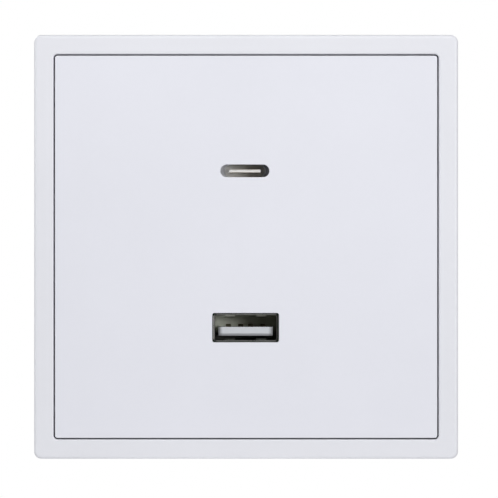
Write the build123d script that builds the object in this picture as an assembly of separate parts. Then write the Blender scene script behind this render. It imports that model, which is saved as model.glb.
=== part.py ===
from build123d import *
import os

os.makedirs("parts", exist_ok=True)

# A square wall socket with one Type-A and one Type-C charging port, in millimetres.
# The wall face of the plate is y = 0, +Y goes into the wall, +X is right and +Z is up seen from the room.

# Front plate
plate_size = 86.0
plate_depth = 8.0
plate_corner_radius = 1.5
plate_edge_radius = 0.6
border_width = 3.95
border_front_wall = 1.6
border_outer_wall = 1.3
border_inner_wall = 1.3
border_rib_thickness = 1.0
border_rib_pitch = 18.0
border_ribs_per_side = 4
border_rib_relief = 0.8
opening_corner_radius = 0.8
frame_lip_radius = 0.4
floor_thickness = 2.0

# Slots for the two fixing screws of the wall box
fixing_spacing = 60.3
slot_width = 4.6
slot_length = 8.6
slot_pad_margin = 2.2
slot_pad_height = 0.6

# Cover plate and its friction pegs
cover_gap = 0.28
cover_thickness = 2.0
cover_edge_radius = 0.12
skirt_depth = 3.5
skirt_wall = 1.2
cover_rib_x = 25.0
cover_rib_z = 28.6
cover_rib_height = 1.1
cover_rib_thickness = 1.0
peg_spacing = 66.0
peg_radius = 1.75
peg_clearance = 0.05
peg_tip_recess = 0.5
peg_tip_bevel = 0.4
peg_slit_width = 0.6
peg_slit_length = 3.6
peg_boss_radius = 2.6
peg_boss_height = 0.8
socket_wall = 1.2
gusset_thickness = 1.0
gusset_height = 2.0

# Openings and pockets of the cover at the two ports
opening_a_side_gap = 0.25
opening_a_end_gap = 0.15
opening_a_corner = 0.4
opening_c_side_gap = 0.485
opening_c_lip = 0.3
opening_edge_radius = 0.15
collar_wall = 1.4
collar_height = 1.0
pocket_floor = 1.0
pocket_clearance = 0.35

# Type-A port, its tongue below the middle of the mouth
port_a_x = -0.1
port_a_z = -16.4
shell_a_width = 13.0
shell_a_height = 5.62
shell_a_length = 14.15
shell_a_wall = 0.25
shell_a_corner = 0.6
mouth_a_recess = 0.25
finger_spacing = 6.4
finger_width = 2.0
finger_length = 4.8
finger_rise = 0.5
finger_setback = 2.2
finger_slit = 0.3
leg_a_width = 1.0
leg_a_spacing = 3.2
tongue_a_side_gap = 0.75
tongue_a_thickness = 1.77
tongue_a_gap_above = 2.42
tongue_a_recess = 0.85
tongue_a_side_bevel = 0.4
tongue_a_lower_bevel = 0.45
base_a_depth = 2.0
contact_a_positions = (-3.5, -1.0, 1.0, 3.5)
contact_a_width = 1.0
contact_a_thickness = 0.25
contact_a_rise = 0.55
contact_a_recess = 0.7
contact_a_ramp = 3.4
contact_a_flat = 1.0
contact_a_fall = 2.6
pin_width = 0.6

# Type-C port
port_c_x = -0.25
port_c_z = 15.4
shell_c_width = 8.94
shell_c_height = 3.16
shell_c_wall = 0.3
flare_c_rise = 0.8
flare_c_depth = 0.8
mouth_c_recess = 1.1
leg_c_width = 1.0
leg_c_spacing = 5.6
cavity_c_depth = 6.7
tongue_c_width = 6.4
tongue_c_thickness = 0.56
tongue_c_corner = 0.1
tongue_c_recess = 0.7
contacts_per_row = 12
contact_c_pitch = 0.5
contact_c_width = 0.25
contact_c_thickness = 0.06
contact_c_recess = 0.5

# Boards, insulating tray and what holds them
port_board_side_step = 1.2
port_board_height = 39.8
port_board_thickness = 1.2
port_board_corner = 1.0
power_board_width = 43.4
power_board_height = 52.4
power_board_thickness = 1.6
tray_thickness = 0.8
tray_front_standoff = 1.4
tray_rear_standoff = 1.8
post_inset_x = 2.5
post_spacing_z = 34.0
post_radius = 1.8
post_bore_radius = 0.8
lead_stick_out = 0.8
lead_radius = 0.3
hole_clearance = 0.12
fit_clearance = 0.05

# Rear housing, front shield and their four screws
housing_wall = 1.5
housing_corner_radius = 2.5
housing_edge_radius = 1.0
board_clearance = 0.3
headroom = 1.3
column_wall = 1.2
column_inset = 0.2
column_clearance = 0.5
screw_seat_depth = 4.0
screw_head_radius = 2.3
screw_head_height = 1.8
screw_shank_radius = 1.45
screw_hole_clearance = 0.15
screw_tip_cover = 0.3
counterbore_clearance = 0.2
cross_recess_width = 0.7
cross_recess_depth = 0.9
window_ledge = 1.0
window_corner_radius = 0.8
shield_thickness = 1.6
shield_overhang = 0.3
shield_boss_wall = 1.2
shield_boss_height = 1.6
shield_port_clearance = 0.3
spigot_clearance = 0.2
spigot_wall = 1.2
spigot_depth = 1.6
ledge_width = 1.4
ledge_thickness = 1.4
vent_width = 1.5
vent_length = 14.0
vent_pitch = 4.0
vent_count = 5

# Screw terminals for the live and neutral wires
terminal_column_gap = 0.1
terminal_z = -19.0
bracket_width = 8.6
bracket_depth = 7.6
bracket_sheet = 1.0
bracket_height = 5.6
thread_collar_radius = 2.7
thread_collar_height = 1.0
tab_width = 1.6
wire_gap = 2.8
clamp_sheet = 1.0
flange_clearance = 0.2
flange_sheet = 0.8
flange_overlap = 0.5
terminal_screw_radius = 1.75
thread_clearance = 0.05
clamp_hole_clearance = 0.1
terminal_head_radius = 3.1
terminal_head_height = 2.4
terminal_slot_width = 0.9
terminal_slot_depth = 1.2
screw_reach = 2.0
wire_entry_width = 9.0
wire_entry_height = 4.6
driver_hole_radius = 3.35
driver_guide_wall = 1.0
driver_guide_gap = 0.6
partition_thickness = 1.2
partition_gap = 1.0

# Parts on the power board
part_gap = 0.8
transformer_z = 11.5
core_width = 18.0
core_length = 16.4
core_thickness = 5.0
core_leg = 2.6
core_yoke = 2.6
bobbin_wall = 0.7
bobbin_flange = 0.9
bobbin_flange_height = 6.1
bobbin_base_height = 4.0
bobbin_base_width = 14.0
bobbin_base_foot = 0.6
transformer_pins_per_side = 4
transformer_pin_pitch = 3.2
winding_build = 2.3
input_capacitor_radius = 4.0
input_capacitor_height = 12.5
output_capacitor_radius = 4.0
output_capacitor_height = 11.0
capacitor_foot = 0.3
capacitor_lead_spacing = 3.5
can_edge_bevel = 0.5
can_crimp_start = 1.4
can_crimp_half = 0.6
can_crimp_depth = 0.4
can_foot_radius = 2.4
can_score_length = 4.8
can_score_width = 0.3
can_score_depth = 0.2
x_capacitor_x = -5.0
x_capacitor_z = -10.2
x_capacitor_size = (13.0, 10.5, 5.0)
x_capacitor_lead_inset = 1.5
x_capacitor_edge = 0.5
fuse_edge_inset = 4.0
fuse_z = -10.4
fuse_size = (4.2, 7.6, 8.4)
fuse_lead_inset = 1.7
fuse_edge = 0.4
disc_lift = 0.8
varistor_edge_inset = 4.1
varistor_z = -9.8
varistor_radius = 4.4
varistor_thickness = 3.6
thermistor_x = -1.6
thermistor_z = -3.0
thermistor_radius = 2.9
thermistor_thickness = 2.8
y_capacitor_x = -7.0
y_capacitor_z = 23.4
y_capacitor_radius = 3.4
y_capacitor_thickness = 3.2
rectifier_x = -10.4
rectifier_z = -2.6
rectifier_size = (8.4, 3.3, 6.4)
rectifier_edge = 0.3
rectifier_lead_inset_x = 1.6
rectifier_lead_inset_z = 0.8
choke_x = 7.9
choke_z = -3.9
choke_outer_radius = 5.3
choke_inner_radius = 2.9
choke_height = 4.4
choke_winding = 0.6
choke_lift = 0.4
choke_bevel = 0.4
choke_winding_arc = 135.0
output_choke_x = 8.0
output_choke_z = 23.3
output_choke_radius = 2.5
output_choke_height = 6.0
controller_x = -3.6
controller_z = -6.7
controller_size = (4.9, 1.4, 3.9)
controller_edge = 0.3
controller_standoff = 0.1
controller_leg_pitch = 1.27
controller_leg_count = 4
controller_leg_width = 0.4
controller_leg_sheet = 0.2
controller_leg_drop = 0.6
controller_leg_reach = 1.1

# Parts on the port board
port_controller_x = -7.0
port_controller_z = 0.0
port_controller_size = (5.0, 0.9, 5.0)
port_controller_edge = 0.15
port_inductor_x = 7.0
port_inductor_z = 0.0
port_inductor_size = (7.0, 4.0, 7.0)
port_inductor_corner = 1.2
port_inductor_edge = 0.4
link_edge_inset = 4.0
link_z = -1.6
link_pin_count = 4
link_pitch = 2.0
link_block_width = 2.4
link_block_height = 2.5

# Positions that follow from the sizes above
front_y = -plate_depth
cover_back_y = front_y + cover_thickness
floor_front_y = -floor_thickness
shield_front_y = floor_front_y - shield_thickness
opening_size = plate_size - 2 * border_width
opening_a_width = shell_a_width + 2 * opening_a_side_gap
opening_a_height = shell_a_height + 2 * opening_a_end_gap
opening_c_width = shell_c_width + 2 * opening_c_side_gap
opening_c_height = shell_c_height - 2 * opening_c_lip
tongue_a_width = shell_a_width - 2 * (shell_a_wall + tongue_a_side_gap)
flare_c_width = shell_c_width + 2 * flare_c_rise
flare_c_height = shell_c_height + 2 * flare_c_rise
cover_size = opening_size - 2 * cover_gap
peg_half = peg_spacing / 2
socket_front_y = cover_back_y + peg_boss_height
mouth_a_y = front_y + mouth_a_recess
mouth_c_y = front_y + mouth_c_recess
port_board_y = mouth_a_y + shell_a_length
port_board_back_y = port_board_y + port_board_thickness
tray_y = port_board_back_y + tray_front_standoff
tray_back_y = tray_y + tray_thickness
power_board_y = tray_back_y + tray_rear_standoff
parts_y = power_board_y + power_board_thickness
tongue_a_top = shell_a_height / 2 - shell_a_wall - tongue_a_gap_above

bracket_top_y = parts_y + bracket_height
clamp_y = bracket_top_y + wire_gap
clamp_back_y = clamp_y + clamp_sheet
terminal_head_back_y = clamp_back_y + terminal_head_height
bobbin_rail_y = parts_y + bobbin_base_foot
transformer_axis_y = bobbin_rail_y + bobbin_base_height + bobbin_flange_height - core_thickness / 2
transformer_top_y = transformer_axis_y + bobbin_flange_height

tallest_y = max(
    transformer_top_y,
    terminal_head_back_y + driver_guide_gap,
    parts_y + capacitor_foot + input_capacitor_height,
    parts_y + capacitor_foot + output_capacitor_height,
)
housing_inner_y = tallest_y + headroom
housing_depth = housing_inner_y + housing_wall
inner_width = power_board_width + 2 * board_clearance
inner_height = power_board_height + 2 * board_clearance
housing_width = inner_width + 2 * housing_wall
housing_height = inner_height + 2 * housing_wall
counterbore_radius = screw_head_radius + counterbore_clearance
column_radius = counterbore_radius + column_wall
column_x = housing_width / 2 - column_radius - column_inset
column_z = housing_height / 2 - column_radius - column_inset
notch_x = column_x - column_radius - column_clearance
notch_z = column_z - column_radius - column_clearance

board_edge_x = power_board_width / 2
port_board_width = power_board_width - 2 * port_board_side_step
post_spacing_x = port_board_width - 2 * post_inset_x
link_x = board_edge_x - link_edge_inset
fuse_x = board_edge_x - fuse_edge_inset
varistor_x = varistor_edge_inset - board_edge_x
terminal_half_width = bracket_width / 2 + flange_clearance + flange_sheet
terminal_spacing = 2 * (notch_x - terminal_half_width - terminal_column_gap)

input_capacitor_x = -(core_width / 2 + part_gap + input_capacitor_radius)
input_capacitor_step = input_capacitor_radius + part_gap / 2
output_capacitor_x = core_width / 2 + part_gap + output_capacitor_radius
output_capacitor_step = output_capacitor_radius + part_gap / 2


def prism(outline, y_front, y_back, x=0, z=0):
    # An outline drawn in X and Z, seen from the room, made solid between two depths
    plane = Plane(origin=(x, y_back, z), x_dir=(1, 0, 0), z_dir=(0, -1, 0))
    return extrude(plane * outline, amount=y_back - y_front)


def block(size_x, y_front, y_back, size_z, x=0, z=0):
    return Pos(x, (y_front + y_back) / 2, z) * Box(size_x, y_back - y_front, size_z)


def post(radius, y_front, y_back, x=0, z=0):
    return prism(Circle(radius), y_front, y_back, x, z)


def turned(profile, x=0, z=0, arc=360):
    # A profile of (radius, y) points turned about an axis along Y
    outline = Polyline(*[(x + r, y, z) for r, y in profile], close=True)
    return revolve(make_face(outline), Axis((x, 0, z), (0, 1, 0)), arc)


def side_profile(points, width, x=0):
    # A profile of (y, z) points made solid along X, centred on x
    outline = make_face(Polyline(*[(x - width / 2, y, z) for y, z in points], close=True))
    return extrude(outline, amount=width, dir=(1, 0, 0))


def corners(half_x, half_z):
    return [(sx * half_x, sz * half_z) for sx in (-1, 1) for sz in (-1, 1)]


def rounded(width, height, radius):
    return RectangleRounded(width, height, radius)


def stadium(width, height):
    return SlotOverall(width, height)


def front_edges(solid, y, half):
    # The edges in the plane at y that lie within half of the middle
    def inside(edge):
        centre = edge.center()
        return abs(centre.X) <= half and abs(centre.Z) <= half

    return solid.edges().filter_by_position(Axis.Y, y - 0.001, y + 0.001).filter_by(inside)


def save(solid, name):
    solid.label = name
    export_step(solid, f"parts/{name}.step")


# Lead and leg positions, shared by each part and the board that it stands on


def pair_along_x(x, z, spacing):
    return [(x - spacing / 2, z), (x + spacing / 2, z)]


def pair_along_z(x, z, spacing):
    return [(x, z - spacing / 2), (x, z + spacing / 2)]


def input_capacitor_places():
    return {
        "upper": (input_capacitor_x, transformer_z + input_capacitor_step),
        "lower": (input_capacitor_x, transformer_z - input_capacitor_step),
    }


def output_capacitor_places():
    return {
        "upper": (output_capacitor_x, transformer_z + output_capacitor_step),
        "lower": (output_capacitor_x, transformer_z - output_capacitor_step),
    }


def capacitor_leads():
    places = list(input_capacitor_places().values()) + list(output_capacitor_places().values())
    return [lead for x, z in places for lead in pair_along_z(x, z, capacitor_lead_spacing)]


def transformer_leads():
    row_z = core_length / 2 - core_yoke / 2
    middle = (transformer_pins_per_side - 1) / 2
    return [
        (transformer_pin_pitch * (i - middle), transformer_z + side * row_z)
        for side in (-1, 1)
        for i in range(transformer_pins_per_side)
    ]


def rectifier_leads():
    return [
        (rectifier_x + x, rectifier_z + z)
        for x, z in corners(
            rectifier_size[0] / 2 - rectifier_lead_inset_x, rectifier_size[2] / 2 - rectifier_lead_inset_z
        )
    ]


def choke_leads():
    reach = (choke_outer_radius + choke_inner_radius) / 2
    return [(choke_x + x, choke_z + z) for x, z in corners(reach * 0.9, reach * 0.45)]


def link_pins():
    middle = (link_pin_count - 1) / 2
    return [(link_x, link_z + link_pitch * (i - middle)) for i in range(link_pin_count)]


def two_lead_places():
    places = pair_along_x(x_capacitor_x, x_capacitor_z, x_capacitor_size[0] - 2 * x_capacitor_lead_inset)
    places += pair_along_z(fuse_x, fuse_z, fuse_size[2] - 2 * fuse_lead_inset)
    places += pair_along_z(varistor_x, varistor_z, varistor_radius)
    places += pair_along_x(thermistor_x, thermistor_z, thermistor_radius)
    places += pair_along_x(y_capacitor_x, y_capacitor_z, y_capacitor_radius)
    places += pair_along_x(output_choke_x, output_choke_z, output_choke_radius)
    return places


def terminal_places():
    return {"neutral": -terminal_spacing / 2, "live": terminal_spacing / 2}


def terminal_tabs(x):
    half = (bracket_width - bracket_sheet) / 2
    return [(x - half, terminal_z), (x + half, terminal_z)]


def shell_a_legs():
    half_x = (shell_a_width - shell_a_wall) / 2
    return [(port_a_x + x, port_a_z + z) for x, z in corners(half_x, leg_a_spacing / 2)]


def shell_c_legs():
    half_z = (shell_c_height - shell_c_wall) / 2
    return [(port_c_x + x, port_c_z + z) for x, z in corners(leg_c_spacing / 2, half_z)]


def contact_a_pins():
    z = port_a_z + tongue_a_top - contact_a_thickness / 2
    return [(port_a_x + x, z) for x in contact_a_positions]


# Plate and cover


def window_outline():
    # The hole in the frame floor, with a land left in each corner in front of the screw columns
    wide = Rectangle(inner_width - 2 * window_ledge, 2 * (column_z - column_radius))
    tall = Rectangle(2 * (column_x - column_radius), inner_height - 2 * window_ledge)
    outline = wide + tall
    return fillet(outline.vertices(), window_corner_radius)


def border_core():
    # The hollow ring behind the border, interrupted by ribs
    outer_size = plate_size - 2 * border_outer_wall
    inner_size = opening_size + 2 * border_inner_wall
    core_front_y = front_y + border_front_wall
    outer = prism(rounded(outer_size, outer_size, plate_corner_radius / 2), core_front_y, 0)
    inner = prism(rounded(inner_size, inner_size, opening_corner_radius), core_front_y, 0)
    core = outer - inner
    middle = (border_ribs_per_side - 1) / 2
    for i in range(border_ribs_per_side):
        place = border_rib_pitch * (i - middle)
        core -= block(border_rib_thickness, core_front_y, -border_rib_relief, plate_size, x=place)
        core -= block(plate_size, core_front_y, -border_rib_relief, border_rib_thickness, z=place)
    return core


def peg_socket(x, z):
    # A tube on the frame floor, tied to the border by two gussets
    outer_radius = peg_radius + peg_clearance + socket_wall
    socket = post(outer_radius, socket_front_y, floor_front_y, x, z)
    reach = opening_size / 2 - peg_half
    side_x = 1 if x > 0 else -1
    side_z = 1 if z > 0 else -1
    gusset_y = floor_front_y - gusset_height
    socket += block(reach, gusset_y, floor_front_y, gusset_thickness, x + side_x * reach / 2, z)
    socket += block(gusset_thickness, gusset_y, floor_front_y, reach, x, z + side_z * reach / 2)
    return socket


def mounting_frame():
    body = prism(rounded(plate_size, plate_size, plate_corner_radius), front_y, 0)
    body = fillet(front_edges(body, front_y, plate_size), plate_edge_radius)
    body -= prism(rounded(opening_size, opening_size, opening_corner_radius), front_y, floor_front_y)
    body = fillet(front_edges(body, front_y, opening_size / 2 + 0.01), frame_lip_radius)
    body -= border_core()
    body -= prism(window_outline(), floor_front_y, 0)
    for x, z in corners(peg_half, peg_half):
        body += peg_socket(x, z)
        body -= post(peg_radius + peg_clearance, socket_front_y, 0, x, z)
    for x in (-fixing_spacing / 2, fixing_spacing / 2):
        pad = stadium(slot_length + 2 * slot_pad_margin, slot_width + 2 * slot_pad_margin)
        pad_limit = housing_width / 2 + shield_overhang + fit_clearance
        land = prism(pad, floor_front_y - slot_pad_height, floor_front_y, x, 0)
        land -= block(2 * pad_limit, floor_front_y - slot_pad_height, floor_front_y, plate_size)
        body += land
        body -= prism(stadium(slot_length, slot_width), floor_front_y - slot_pad_height, 0, x, 0)
    for x, z in corners(column_x, column_z):
        body -= post(screw_shank_radius + screw_hole_clearance, floor_front_y, 0, x, z)
    return body


def cover_peg(x, z):
    # A split friction peg on a short boss
    tip_y = -peg_tip_recess
    peg = post(peg_boss_radius, cover_back_y, socket_front_y, x, z)
    peg += turned(
        [
            (0, cover_back_y),
            (peg_radius, cover_back_y),
            (peg_radius, tip_y - peg_tip_bevel),
            (peg_radius - peg_tip_bevel, tip_y),
            (0, tip_y),
        ],
        x,
        z,
    )
    slit_y = tip_y - peg_slit_length
    peg -= block(2 * peg_radius, slit_y, tip_y, peg_slit_width, x, z)
    peg -= block(peg_slit_width, slit_y, tip_y, 2 * peg_radius, x, z)
    return peg


def cover_plate():
    corner = opening_corner_radius - cover_gap
    skirt_y = front_y + skirt_depth
    body = prism(rounded(cover_size, cover_size, corner), front_y, skirt_y)
    body = fillet(front_edges(body, front_y, plate_size), cover_edge_radius)
    hollow_size = cover_size - 2 * skirt_wall
    body -= prism(rounded(hollow_size, hollow_size, corner), cover_back_y, skirt_y)
    rib_y = cover_back_y + cover_rib_height
    for side in (-1, 1):
        body += block(cover_rib_thickness, cover_back_y, rib_y, hollow_size, x=side * cover_rib_x)
        body += block(hollow_size, cover_back_y, rib_y, cover_rib_thickness, z=side * cover_rib_z)
    for x, z in corners(peg_half, peg_half):
        body += cover_peg(x, z)

    collar_y = cover_back_y + collar_height
    collar_a = rounded(opening_a_width + 2 * collar_wall, opening_a_height + 2 * collar_wall, collar_wall)
    body += prism(collar_a, cover_back_y, collar_y, port_a_x, port_a_z)
    opening_a = rounded(opening_a_width, opening_a_height, opening_a_corner)
    body -= prism(opening_a, front_y, collar_y, port_a_x, port_a_z)

    pocket_width = flare_c_width + 2 * pocket_clearance
    pocket_height = flare_c_height + 2 * pocket_clearance
    collar_c = stadium(pocket_width + 2 * collar_wall, pocket_height + 2 * collar_wall)
    body += prism(collar_c, cover_back_y, collar_y, port_c_x, port_c_z)
    body -= prism(stadium(pocket_width, pocket_height), front_y + pocket_floor, collar_y, port_c_x, port_c_z)
    body -= prism(stadium(opening_c_width, opening_c_height), front_y, collar_y, port_c_x, port_c_z)
    return fillet(front_edges(body, front_y, plate_size / 3), opening_edge_radius)


# Front shield and rear housing


def front_shield():
    # The insulating plate in front of the frame floor, with posts down to the port board
    width = housing_width + 2 * shield_overhang
    body = prism(rounded(width, housing_height, housing_corner_radius), shield_front_y, floor_front_y)
    outer = prism(offset(window_outline(), -spigot_clearance), floor_front_y, floor_front_y + spigot_depth)
    inner = prism(
        offset(window_outline(), -spigot_clearance - spigot_wall),
        floor_front_y,
        floor_front_y + spigot_depth,
    )
    body += outer - inner
    for x, z in corners(post_spacing_x / 2, post_spacing_z / 2):
        body += post(post_radius, floor_front_y, port_board_y, x, z)
        body -= post(post_bore_radius, shield_front_y + shield_thickness / 2, port_board_y, x, z)
    boss_y = shield_front_y - shield_boss_height
    pilot_radius = screw_shank_radius + fit_clearance
    for x, z in corners(column_x, column_z):
        body += post(pilot_radius + shield_boss_wall, boss_y, shield_front_y, x, z)
        body -= post(pilot_radius, boss_y + screw_tip_cover, floor_front_y, x, z)
    room = 2 * shield_port_clearance
    opening_a = rounded(shell_a_width + room, shell_a_height + room, shell_a_corner)
    opening_c = stadium(flare_c_width + room, flare_c_height + room)
    body -= prism(opening_a, shield_front_y, floor_front_y, port_a_x, port_a_z)
    body -= prism(opening_c, shield_front_y, floor_front_y, port_c_x, port_c_z)
    return body


def terminal_pocket_walls():
    # The wall between live and neutral, and one on the outer side of each terminal
    wall_y = parts_y + partition_gap
    top_z = terminal_z + bracket_depth / 2 + part_gap
    bottom_z = -inner_height / 2
    middle_z = (top_z + bottom_z) / 2
    walls = block(partition_thickness, wall_y, housing_inner_y, top_z - bottom_z, z=middle_z)
    side_x = terminal_spacing / 2 + terminal_half_width + part_gap
    for side in (-1, 1):
        x = side * (side_x + partition_thickness / 2)
        foot_z = -(column_z - column_radius)
        length = foot_z - bottom_z
        walls += block(partition_thickness, clamp_y, housing_inner_y, length, x, bottom_z + length / 2)
    return walls


def board_ledges():
    # Ribs on the side walls that the power board rests on
    ribs = []
    half = inner_width / 2
    for x, z in corners(half - ledge_width / 2, post_spacing_z / 2):
        ribs.append(block(ledge_width, parts_y, housing_inner_y, ledge_thickness, x, z))
    top_half = inner_height / 2
    for x, z in corners(notch_x - 2 * ledge_thickness, top_half - ledge_width / 4):
        ribs.append(block(ledge_thickness, parts_y, housing_inner_y, ledge_width / 2, x, z))
    return ribs


def rear_housing():
    outer = prism(rounded(housing_width, housing_height, housing_corner_radius), 0, housing_depth)
    back = outer.faces().sort_by(Axis.Y)[-1]
    outer = fillet(back.edges(), housing_edge_radius)
    inner_corner = housing_corner_radius - housing_wall
    body = outer - prism(rounded(inner_width, inner_height, inner_corner), 0, housing_inner_y)
    for x, z in corners(column_x, column_z):
        body += post(column_radius, 0, housing_depth, x, z) & outer
    body += terminal_pocket_walls()
    for rib in board_ledges():
        body += rib
    for x, z in corners(column_x, column_z):
        body -= post(counterbore_radius, screw_seat_depth, housing_depth, x, z)
        body -= post(screw_shank_radius + screw_hole_clearance, 0, screw_seat_depth, x, z)

    guide_y = terminal_head_back_y + driver_guide_gap
    entry_y = (bracket_top_y + clamp_y) / 2
    for x in terminal_places().values():
        body += post(driver_hole_radius + driver_guide_wall, guide_y, housing_inner_y, x, terminal_z)
        body -= post(driver_hole_radius, guide_y, housing_depth, x, terminal_z)
        entry = Box(wire_entry_width, wire_entry_height, 3 * housing_wall)
        body -= Pos(x, entry_y, -housing_height / 2) * entry

    middle = (vent_count - 1) / 2
    for i in range(vent_count):
        x = vent_pitch * (i - middle)
        vent = Rot(0, 0, 90) * stadium(vent_length, vent_width)
        body -= prism(vent, housing_inner_y, housing_depth, x, transformer_z)
        slot = Box(vent_width, vent_length / 2, 3 * housing_wall)
        body -= Pos(x, housing_inner_y - vent_length / 2, housing_height / 2) * slot
    return body


def housing_screws():
    # Four pan-head screws that reach from the housing into the bosses of the shield
    tip_y = shield_front_y - shield_boss_height + 2 * screw_tip_cover
    head_y = screw_seat_depth + screw_head_height
    edge = screw_head_height / 3
    screws = []
    for x, z in corners(column_x, column_z):
        screw = turned(
            [
                (0, tip_y),
                (screw_shank_radius / 2, tip_y),
                (screw_shank_radius, tip_y + screw_shank_radius),
                (screw_shank_radius, screw_seat_depth),
                (screw_head_radius, screw_seat_depth),
                (screw_head_radius, head_y - edge),
                (screw_head_radius - edge, head_y),
                (0, head_y),
            ],
            x,
            z,
        )
        long_side = 2 * (screw_head_radius - edge)
        recess_y = head_y - cross_recess_depth
        screw -= block(long_side, recess_y, head_y, cross_recess_width, x, z)
        screw -= block(cross_recess_width, recess_y, head_y, long_side, x, z)
        screws.append(screw)
    return Compound(screws)


# Ports


def spring_finger(x, side):
    # A finger of the shell wall, bent into the mouth and rooted at its rear end
    wall_z = side * (shell_a_height / 2 - shell_a_wall / 2)
    t = shell_a_wall / 2
    root_y = mouth_a_y + finger_setback + finger_length
    peak_y = root_y - finger_length * 0.75
    tip_y = root_y - finger_length + finger_slit
    drop = side * finger_rise
    profile = [
        (root_y + shell_a_wall, port_a_z + wall_z - t),
        (root_y, port_a_z + wall_z - t),
        (peak_y, port_a_z + wall_z - drop - t),
        (tip_y, port_a_z + wall_z - drop * 0.6 - t),
        (tip_y, port_a_z + wall_z - drop * 0.6 + t),
        (peak_y, port_a_z + wall_z - drop + t),
        (root_y, port_a_z + wall_z + t),
        (root_y + shell_a_wall, port_a_z + wall_z + t),
    ]
    return side_profile(profile, finger_width, port_a_x + x)


def usb_a_shell():
    outer = rounded(shell_a_width, shell_a_height, shell_a_corner)
    inner = rounded(
        shell_a_width - 2 * shell_a_wall,
        shell_a_height - 2 * shell_a_wall,
        shell_a_corner - shell_a_wall,
    )
    body = prism(outer - inner, mouth_a_y, port_board_y, port_a_x, port_a_z)
    window_y = mouth_a_y + finger_setback
    for side in (-1, 1):
        for x in (-finger_spacing / 2, finger_spacing / 2):
            wall_z = port_a_z + side * shell_a_height / 2
            window_width = finger_width + 2 * finger_slit
            body -= block(
                window_width, window_y, window_y + finger_length, 4 * shell_a_wall, port_a_x + x, wall_z
            )
            body += spring_finger(x, side)
    for x, z in shell_a_legs():
        body += block(shell_a_wall, port_board_y, port_board_back_y + lead_stick_out, leg_a_width, x, z)
    return body


def usb_a_insulator():
    base_y = port_board_y - base_a_depth
    width = shell_a_width - 2 * (shell_a_wall + fit_clearance)
    height = shell_a_height - 2 * (shell_a_wall + fit_clearance)
    base = prism(rounded(width, height, shell_a_corner / 2), base_y, port_board_y, port_a_x, port_a_z)
    tongue_front = mouth_a_y + tongue_a_recess
    tongue_z = port_a_z + tongue_a_top - tongue_a_thickness / 2
    tongue = block(tongue_a_width, tongue_front, base_y, tongue_a_thickness, port_a_x, tongue_z)
    front = tongue.faces().sort_by(Axis.Y)[0]
    tongue = chamfer(front.edges().sort_by(Axis.Z)[0], tongue_a_lower_bevel)
    upright = tongue.faces().sort_by(Axis.Y)[0].edges().filter_by(Axis.Z)
    tongue = chamfer(upright, tongue_a_side_bevel)
    body = base + tongue
    groove_front = tongue_front + contact_a_recess - fit_clearance
    groove_z = port_a_z + tongue_a_top - contact_a_thickness / 2
    for x in contact_a_positions:
        body -= block(
            contact_a_width + 2 * fit_clearance,
            groove_front,
            port_board_y,
            contact_a_thickness + 0.001,
            port_a_x + x,
            groove_z,
        )
    return body


def usb_a_contacts():
    # Four spring contacts that rise from grooves in the tongue
    start_y = mouth_a_y + tongue_a_recess + contact_a_recess
    top = port_a_z + tongue_a_top
    t = contact_a_thickness
    end_y = port_board_y
    rise_y = start_y + contact_a_ramp
    fall_y = rise_y + contact_a_flat
    rest_y = fall_y + contact_a_fall
    upper = [(start_y, top), (rise_y, top + contact_a_rise), (fall_y, top + contact_a_rise)]
    upper += [(rest_y, top), (end_y, top)]
    profile = upper + [(y, z - t) for y, z in reversed(upper)]
    contacts = []
    for x, z in contact_a_pins():
        contact = side_profile(profile, contact_a_width, x)
        contact += block(pin_width, end_y, port_board_back_y + lead_stick_out, t, x, z)
        contacts.append(contact)
    return Compound(contacts)


def flared_bar(width, height):
    # A stadium bar that widens towards the mouth of the Type-C port
    neck_y = mouth_c_y + flare_c_depth
    wide = stadium(width + 2 * flare_c_rise, height + 2 * flare_c_rise)
    narrow = stadium(width, height)
    sections = []
    for outline, y in ((wide, mouth_c_y), (narrow, neck_y)):
        plane = Plane(origin=(port_c_x, y, port_c_z), x_dir=(1, 0, 0), z_dir=(0, -1, 0))
        sections.append((plane * outline).face())
    return loft(sections, ruled=True) + prism(narrow, neck_y, port_board_y, port_c_x, port_c_z)


def usb_c_shell():
    # A drawn tube with a flared mouth
    body = flared_bar(shell_c_width, shell_c_height)
    body -= flared_bar(shell_c_width - 2 * shell_c_wall, shell_c_height - 2 * shell_c_wall)
    for x, z in shell_c_legs():
        body += block(leg_c_width, port_board_y, port_board_back_y + lead_stick_out, shell_c_wall, x, z)
    return body


def usb_c_insulator():
    base_y = mouth_c_y + cavity_c_depth
    room = 2 * (shell_c_wall + fit_clearance)
    base = stadium(shell_c_width - room, shell_c_height - room)
    body = prism(base, base_y, port_board_y, port_c_x, port_c_z)
    tongue_front = mouth_c_y + tongue_c_recess
    tongue = rounded(tongue_c_width, tongue_c_thickness, tongue_c_corner)
    body += prism(tongue, tongue_front, base_y, port_c_x, port_c_z)
    slot_width_c = contact_c_pitch * contacts_per_row + contact_c_width
    slot_height_c = contact_c_thickness + fit_clearance
    for side in (-1, 1):
        z = port_c_z + side * (tongue_c_thickness / 2 + slot_height_c / 2)
        body -= block(slot_width_c, base_y, port_board_y, slot_height_c, port_c_x, z)
    return body


def usb_c_contacts():
    # Two rows of flat contacts on the faces of the tongue, down to the board
    start_y = mouth_c_y + tongue_c_recess + contact_c_recess
    middle = (contacts_per_row - 1) / 2
    contacts = []
    for side in (-1, 1):
        z = port_c_z + side * (tongue_c_thickness + contact_c_thickness) / 2
        for i in range(contacts_per_row):
            x = port_c_x + contact_c_pitch * (i - middle)
            contacts.append(block(contact_c_width, start_y, port_board_y, contact_c_thickness, x, z))
    return Compound(contacts)


# Boards and tray


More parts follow.
